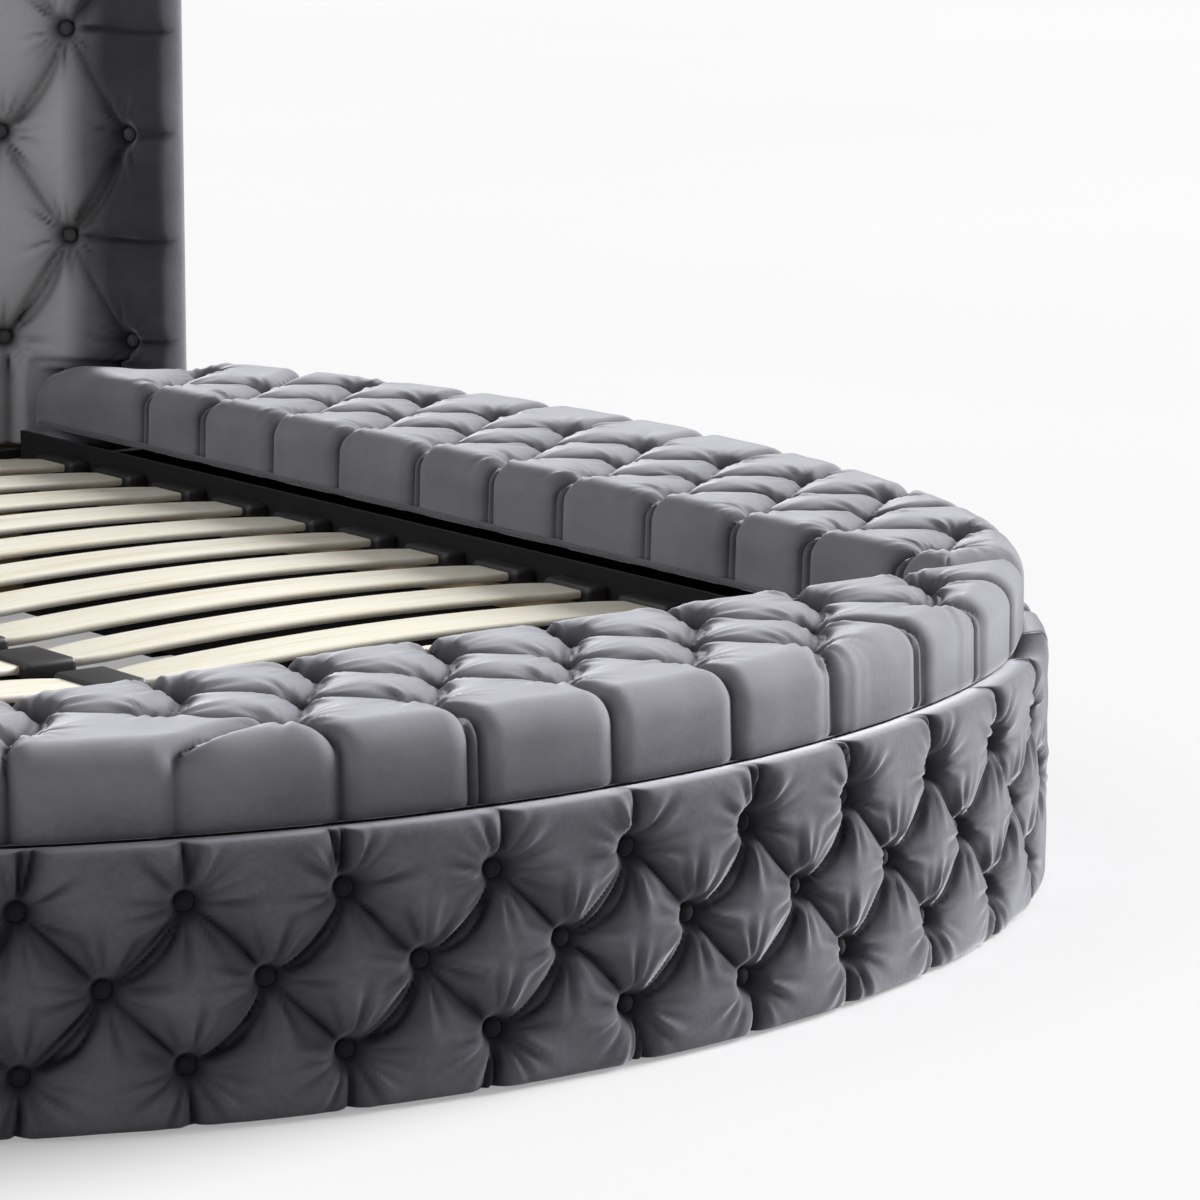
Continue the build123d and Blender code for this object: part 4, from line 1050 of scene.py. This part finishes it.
rows_up = HEAD_FOOT + np.linspace(0, HEAD_TOP - HEAD_ROLL - HEAD_FOOT, HEAD_MESH_ROWS)
s_line = spaced(
    2 * TIP_LENGTH, HEAD_MESH_ALONG, (0, 0.0005, 0.002, 0.0045, 0.008, 0.0125, 0.018, 0.024, 0.030)
) - TIP_LENGTH
from_tip = TIP_LENGTH - np.abs(s_line)
roll = np.clip((HEAD_ROLL - from_tip) / HEAD_ROLL, 0, 1)
tip_roll = HEAD_ROLL * (1 - np.sqrt(1 - roll**2))
front_out, front_z = rolled_edge(rows_up, HEAD_THICK, HEAD_ROLL, False)
back_out, _ = rolled_edge(rows_up, HEAD_THICK, HEAD_ROLL, True)
height, s = np.meshgrid(front_z, s_line, indexing="ij")
depth, shade = quilted(
    s, height, head_buttons, head_folds, HEAD_PIT, HEAD_FOLD_REACH, HEAD_SLACK, HEAD_CREASE_LINE
)
fade = np.clip((HEAD_THICK / 2 - front_out) / (HEAD_THICK / 2), 0, 1)[:, None]
top_dip = 0.5 * depth * np.clip((front_z - (HEAD_TOP - HEAD_ROLL)) / HEAD_ROLL, 0, 1)[:, None]
out = front_out[:, None] + tip_roll[None] * fade + (depth - HEAD_PLUMP) * fade
x, y, _, _ = along(HEADBOARD, s, out)
low_top = tip_roll[None] * np.clip((height - HEAD_TOP + CROWN_FALL) / CROWN_FALL, 0, 1)
z = height - low_top - top_dip

# A recess for the tails of the side lids, inside the circle that they swing through. Its heights
# and depth were set by trial and follow no size of the hinge. The cloth goes back into the plywood
# core there, so that the plywood shows through it.
swept = np.hypot(np.abs(x) - SIDE_HINGE_X, z - HINGE_HEIGHT) < SWING_ROOM
above = np.where(z < RECESS_TO, RECESS_ABOVE, 0.0)
deepest = np.where(z < RECESS_FULL_TO, RECESS_MOST, above)
front = np.stack([x, np.where(swept, np.minimum(np.maximum(y, RECESS_FROM), y + deepest), y), z], 2)

wrapped = np.clip(np.maximum((height - WRAP_HEIGHT) / 0.006, (WRAP_BAND - from_tip[None]) / 0.008), 0, 1)
back_off = np.minimum(back_out[:, None], PAD_BACK + PAD_WRAP * wrapped) - tip_roll[None] * fade
x, y, _, _ = along(HEADBOARD, s, back_off)
back = np.stack([x, y, z], 2)
# Painted light and painted shade: the hollow face is painted in the palest tone, and a band along each wing's
# rounded edge in the shaded tone with painted shade.
wing = np.clip((WING_BAND + WING_SOFT_OUT - from_tip) / WING_SOFT, 0, 1)[None]
painted_head_light = HEAD_LIGHT_TONE * (1 - wing) + 0 * height
shade = np.maximum(shade * fade, WING_SHADE * wing)
head_pad = two_sheets("headboard_tufted_pad", front, back, velvet, shade, np.stack([painted_head_light, 0 * painted_head_light]))
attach(head_pad, "bed_frame")
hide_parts("headboard_pad")
x, y, heading_x, heading_y = along(HEADBOARD, head_buttons[:, 0], HEAD_FLOOR)
button_domes(
    "headboard_button_domes",
    np.stack([x, y, head_buttons[:, 1]], 1),
    np.stack([-heading_x, -heading_y, 0 * x], 1),
    "bed_frame",
    "headboard_buttons",
    HEAD_LIGHT_TONE,
)

# Plain back cover: a thin padded skin with a stitched seam every 0.4 m, slightly slack between them
BACK_FOOT = 0.010
BACK_TOP = 1.404
BACK_OUTSIDE = 0.0835
BACK_INSIDE = 0.0722
BACK_PANEL = 0.4
SEAM_DEPTH = 0.004
SEAM_WIDTH = 0.006
BACK_EDGE = 0.010
BACK_EDGE_IN = 0.006
BACK_SLACK = 0.0010
BACK_RIPPLE = 0.35
back_end = TIP_LENGTH - 0.046
z = BACK_FOOT + spaced(BACK_TOP - BACK_FOOT, 0.02)
s_line = spaced(2 * back_end, 0.014) - back_end
height, s = np.meshgrid(z, s_line, indexing="ij")
from_seam = np.abs((s / BACK_PANEL + 0.5) % 1 - 0.5) * BACK_PANEL
stitched = SEAM_DEPTH * np.exp(-((from_seam / SEAM_WIDTH) ** 2))
edge = np.minimum(np.minimum(height - BACK_FOOT, BACK_TOP - height), back_end - np.abs(s))
eased = BACK_EDGE_IN * (1 - np.sqrt(1 - np.clip((BACK_EDGE - edge) / BACK_EDGE, 0, 1) ** 2))
slack = BACK_SLACK * ripple(s, height, BACK_RIPPLE)
x, y, _, _ = along(HEADBOARD, s, BACK_OUTSIDE - stitched - eased + slack)
rear = np.stack([x, y, height], 2)
x, y, _, _ = along(HEADBOARD, s, np.full_like(s, BACK_INSIDE))
hidden = np.stack([x, y, height], 2)
# Painted shade along the stitched seam grooves, and a painted light tone a little above the sides' shaded
# one.
seams = (stitched / SEAM_DEPTH)[:, ::-1]
back_cover = two_sheets("headboard_back_skin", rear[:, ::-1], hidden[:, ::-1], velvet, seams, 0.2)
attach(back_cover, "bed_frame")
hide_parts("headboard_back_cover")


# Sprung slats
# Pale birch laminate strips, steamed to a bow, with rounded long edges and ends that taper into
# their plastic holders.

SLAT_PITCH = 0.1466
SLAT_PLACES = CHORD + SLAT_PITCH * (np.arange(13) + 0.5)
SLAT_WIDTH = 0.084
SLAT_THICK = 0.010
SLAT_CORNER = 0.0045
SLAT_TOP = 0.242
SLAT_BOW = 0.014
SLAT_FROM = 0.016
SLAT_TO = 0.752
TAPER = 0.34
TAPER_SHARE = 0.09


def rounded_section(width, thickness, corner, count=5):
    """A rectangle's outline with round corners, as places across and up, one turn."""
    turn = np.linspace(0, np.pi / 2, count)
    across, up = [], []
    for quarter, (side, lift) in enumerate(((1, 1), (-1, 1), (-1, -1), (1, -1))):
        angle = turn + quarter * np.pi / 2
        across.append(side * (width / 2 - corner) + corner * np.cos(angle))
        up.append(lift * (thickness / 2 - corner) + corner * np.sin(angle))
    return np.concatenate(across), np.concatenate(up)


def repeated(points, faces, moves):
    """Copies of one shape moved to many places, as one set of points and quads."""
    many = points[None] + np.asarray(moves)[:, None, :]
    many_faces = faces[None] + len(points) * np.arange(len(moves))[:, None, None]
    return many.reshape(-1, 3), many_faces.reshape(-1, 4)


def birch_finish():
    """Pale birch: fine long grain and a few darker streaks."""
    finish, shader, place = new_finish("birch_slat", roughness=0.42, coat_weight=0.12, coat_roughness=0.35)
    grain = place.stretched(3, 90, 90).noise(2.2, 6, 0.62)
    streak = place.stretched(1.2, 26, 26).noise(1.6, 2, 0.5)
    tone = grain.tones((0.30, (246, 234, 204)), (0.52, (254, 249, 233)), (0.72, (255, 253, 244)))
    tone = (streak.ramp((0.56, (0, 0, 0)), (0.70, (1, 1, 1))) * 0.30).mixed(tone, linear(214, 190, 148))
    paint(shader, base_color=tone, roughness=0.36 + 0.2 * grain, normal=grain.bump(0.2, 0.0006))
    return finish


birch = birch_finish()
across, up = rounded_section(SLAT_WIDTH, SLAT_THICK, SLAT_CORNER)
share = np.linspace(0, 1, 41)[:, None]
taper = 1 - TAPER * np.clip(1 - np.minimum(share, 1 - share) / TAPER_SHARE, 0, 1) ** 1.6
slat_x = SLAT_FROM + share * (SLAT_TO - SLAT_FROM) + 0 * across[None]
slat_z = SLAT_TOP - SLAT_THICK / 2 + SLAT_BOW * 4 * share * (1 - share) + up[None]
one_slat = np.stack([slat_x, across[None] * taper, slat_z], 2)
points, faces = loft(one_slat[:, ::-1])
moves = [(0, y, 0) for y in SLAT_PLACES]
right_points, right_faces = repeated(points, faces, moves)
left_points = right_points * (-1, 1, 1)
all_points = np.concatenate([right_points, left_points])
all_faces = np.concatenate([right_faces, right_faces[:, ::-1] + len(right_points)])
slat_piece = make_piece("birch_slats", all_points, all_faces, birch, None, SAME_POINT)
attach(slat_piece, "bed_frame")
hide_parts("slats")


# Slat holders
# Moulded black plastic pockets: single ones on the side rails and double ones over the beam.

HOLDER_WIDTH = 0.092
HOLDER_THICK = 0.022
HOLDER_CORNER = 0.006
HOLDER_DRAW = 0.007
HOLDER_MIDDLE = 0.237


def plastic_finish(name, colour, rough):
    """Moulded plastic with a fine spark-eroded grain and slightly worn crests."""
    finish, shader, place = new_finish(name, coat_weight=0.05)
    grain = place.noise(700, 2, 0.6)
    worn = place.noise(22, 3, 0.5)
    paler = tuple(min(1, c * 1.7 + 0.01) for c in colour)
    paint(
        shader,
        base_color=(worn * 0.5).mixed(colour, paler),
        roughness=rough + 0.16 * worn,
        normal=grain.bump(0.25, 0.0004),
    )
    return finish


black_plastic = plastic_finish("black_plastic_holder", linear(17, 17, 19), 0.42)


def holder(x_from, x_to):
    """One holder: a section with round corners, carried across the bed and drawn in at its ends."""
    across, up = rounded_section(HOLDER_WIDTH, HOLDER_THICK, HOLDER_CORNER)
    steps = np.array([0, 0.0006, 0.002, 0.0042, HOLDER_DRAW])
    x = np.concatenate([x_from + steps, x_to - steps[::-1]])[:, None]
    edge = np.minimum(x - x_from, x_to - x)
    draw = HOLDER_DRAW * (1 - np.sqrt(1 - np.clip(1 - edge / HOLDER_DRAW, 0, 1) ** 2))
    shape_y = across[None] * (1 - draw / (HOLDER_WIDTH / 2))
    shape_z = HOLDER_MIDDLE + up[None] * (1 - draw / (HOLDER_THICK / 2))
    return loft(np.stack([x + 0 * across[None], shape_y, shape_z], 2)[:, ::-1])


for name, x_from, x_to, node in (
    ("right_slat_holders", 0.734, 0.768, "right_slat_caps"),
    ("left_slat_holders", -0.768, -0.734, "left_slat_caps"),
    ("centre_slat_holders", -0.034, 0.034, "centre_slat_caps"),
):
    points, faces = repeated(*holder(x_from, x_to), moves)
    piece = make_piece(name, points, faces, black_plastic, None, SAME_POINT)
    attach(piece, "bed_frame")
    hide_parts(node)


# Boards, linings, frame and fittings that keep their solids
# Plywood walls and floors, cloth-covered well linings, the steel beam with its legs, hinges and
# bolts. Each gets its own finish on the solid's slots.

LAYER_SCALE = 95.0
WEAVE_SCALE = 330.0


def plywood_finish():
    """Birch plywood: broad grain, and its layers as darker bands one above the other."""
    finish, shader, place = new_finish("plywood_board", coat_weight=0.05)
    grain = place.stretched(4, 4, 46).noise(1.7, 5, 0.6)
    sheets = {"Vector": place, "Scale": LAYER_SCALE, "Distortion": 0.6}
    layers = place.node("TexWave", {"bands_direction": "Z"}, sheets, 1)
    tone = grain.tones((0.32, (176, 142, 98)), (0.55, (205, 174, 130)), (0.74, (224, 198, 158)))
    tone = (layers * 0.16).mixed(tone, linear(128, 92, 58))
    paint(shader, base_color=tone, roughness=0.55 + 0.2 * grain, normal=grain.bump(0.25, 0.0008))
    return finish


def lining_finish():
    """Black lining cloth: a plain weave, with lint and a slight slackness."""
    finish, shader, place = new_finish(
        "black_lining_cloth", sheen_weight=0.15, sheen_roughness=0.5, specular_IOR_level=0.2
    )
    threads = {"Vector": place, "Scale": WEAVE_SCALE, "Distortion": 1.0}
    warp = place.node("TexWave", {"bands_direction": "DIAGONAL"}, threads, 1)
    weft = place.node("TexWave", {"bands_direction": "Z"}, threads, 1)
    slack = place.noise(7, 3, 0.5)
    lint = place.noise(420, 1, 0.5)
    weave = warp * weft
    tone = weave.mixed(linear(17, 17, 20), linear(32, 32, 36))
    tone = (lint.ramp((0.70, (0, 0, 0)), (0.82, (1, 1, 1))) * 0.25).mixed(tone, linear(70, 70, 74))
    relief = weave * 0.4 + slack * 3
    paint(shader, base_color=tone, roughness=0.82 + 0.12 * weave, normal=relief.bump(0.5, 0.0012))
    return finish


def steel_finish(name, colour, metal, rough):
    """Steel: powder-coated or zinc-plated, with a fine orange-peel texture and faint smears."""
    finish, shader, place = new_finish(name, metallic=metal)
    peel = place.noise(260, 2, 0.55)
    smear = place.stretched(1, 1, 5).noise(14, 4, 0.6)
    other = tuple(min(1, c * 1.35 + 0.01) for c in colour)
    paint(
        shader,
        base_color=(smear * 0.6).mixed(colour, other),
        roughness=rough + 0.2 * smear,
        normal=peel.bump(0.18, 0.0004),
    )
    return finish


finishes = {
    "velvet": velvet,
    "black_cloth": lining_finish(),
    "birch": birch,
    "plywood": plywood_finish(),
    "black_plastic": black_plastic,
    "black_steel": steel_finish("black_powder_steel", linear(24, 24, 26), 0.35, 0.42),
    "bright_steel": steel_finish("zinc_steel", linear(176, 178, 182), 1.0, 0.30),
    "glide_plastic": plastic_finish("glide_plastic", linear(44, 44, 47), 0.45),
    "rest_rubber": plastic_finish("rest_rubber", linear(30, 30, 31), 0.70),
}
LINED = [bench + wall for bench in ("right", "left", "foot") for wall in ("_outer_wall", "_inner_wall")]
LINED += ["right_rear_panel", "left_rear_panel", "right_front_panel", "left_front_panel"]
for name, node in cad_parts.items():
    for slot in node.material_slots:
        key = slot.material.name.split(".")[0] if slot.material else ""
        key = "black_cloth" if name in LINED else key
        if key in finishes:
            slot.material = finishes[key]
        else:
            print("no finish for", name, key)


# Floor, light and camera
# A pale studio floor that runs back to white, one broad soft light from the right and above, a
# weak one from the left, an even pale surround, and the camera at the photograph's place.

FLOOR_HALF = 40.0
FLOOR_POINTS = 9
FLOOR_GLOW = 0.33


def floor_finish():
    """White studio floor: matt, with a trace of unevenness. The camera sees it paler than other
    rays do, and lit a little by itself, so that it runs back to white without clipping."""
    finish, shader, place = new_finish("studio_floor", roughness=0.9, specular_IOR_level=0.1)
    cloud = place.noise(0.4, 2, 0.5)
    seen = place.node("LightPath", {}, {}, 0)
    pale = cloud.tones((0.3, (240, 240, 241)), (0.7, (243, 243, 244)))
    paint(shader, base_color=seen.mixed(linear(190, 190, 192), pale))
    glow = place.node("Emission", {}, {"Color": (1, 1, 1, 1), "Strength": 1.0})
    lit = Shade(finish.node_tree, shader.outputs[0])
    both = place.node("MixShader", {}, {0: seen * FLOOR_GLOW, 1: lit, 2: glow})
    finish.node_tree.links.new(both.socket, finish.node_tree.nodes["Material Output"].inputs["Surface"])
    return finish


floor_line = np.linspace(-FLOOR_HALF, FLOOR_HALF, FLOOR_POINTS)
ground, away = np.meshgrid(floor_line, floor_line)
floor_points = np.stack([ground.ravel(), away.ravel(), 0 * ground.ravel()], 1)
index = np.arange(FLOOR_POINTS**2).reshape(FLOOR_POINTS, FLOOR_POINTS)
floor_faces = quads(index[:-1, :-1], index[:-1, 1:], index[1:, 1:], index[1:, :-1])
floor = make_piece("studio_floor", floor_points, floor_faces, floor_finish())

for name, strength, spread, towards in (
    ("soft_key", 5.4, 28, (0.90, -0.06, 0.42)),
    ("left_fill", 0.4, 50, (-0.75, 0.10, 0.62)),
):
    light = bpy.data.lights.new(name, "SUN")
    light.energy = strength
    light.angle = math.radians(spread)
    lamp = bpy.data.objects.new(name, light)
    lamp.rotation_euler = Vector(towards).to_track_quat("Z", "Y").to_euler()
    bpy.context.scene.collection.objects.link(lamp)

world = bpy.data.worlds.new("pale_surround")
bpy.context.scene.world = world
world.use_nodes = True
world.node_tree.nodes.clear()
sky = Shade(world.node_tree)
seen = sky.node("LightPath", {}, {}, 0)
shiny = sky.node("LightPath", {}, {}, 3)
through = sky.node("LightPath", {}, {}, 6)
even = sky.node("Background", {}, {"Color": (1, 1, 1, 1), "Strength": 0.23})
white = sky.node("Background", {}, {"Color": (1, 1, 1, 1), "Strength": 1.0})
shown = sky.maths("MAXIMUM", sky.maths("MAXIMUM", seen, shiny), through)
mix = sky.node("MixShader", {}, {0: shown, 1: even, 2: white})
outlet = world.node_tree.nodes.new("ShaderNodeOutputWorld")
world.node_tree.links.new(mix.socket, outlet.inputs["Surface"])

camera_data = bpy.data.cameras.new("photo_camera")
camera_data.sensor_width = 36.0
camera_data.sensor_fit = "HORIZONTAL"
camera_data.lens = 162.33
camera_data.clip_end = 200.0
camera = bpy.data.objects.new("photo_camera", camera_data)
camera.location = (-3.0106, -5.3411, 1.4008)
camera.rotation_euler = (math.radians(90 - 10.528), 0, math.radians(-36.747))
bpy.context.scene.collection.objects.link(camera)
bpy.context.scene.camera = camera
bpy.context.scene.view_settings.view_transform = "Standard"
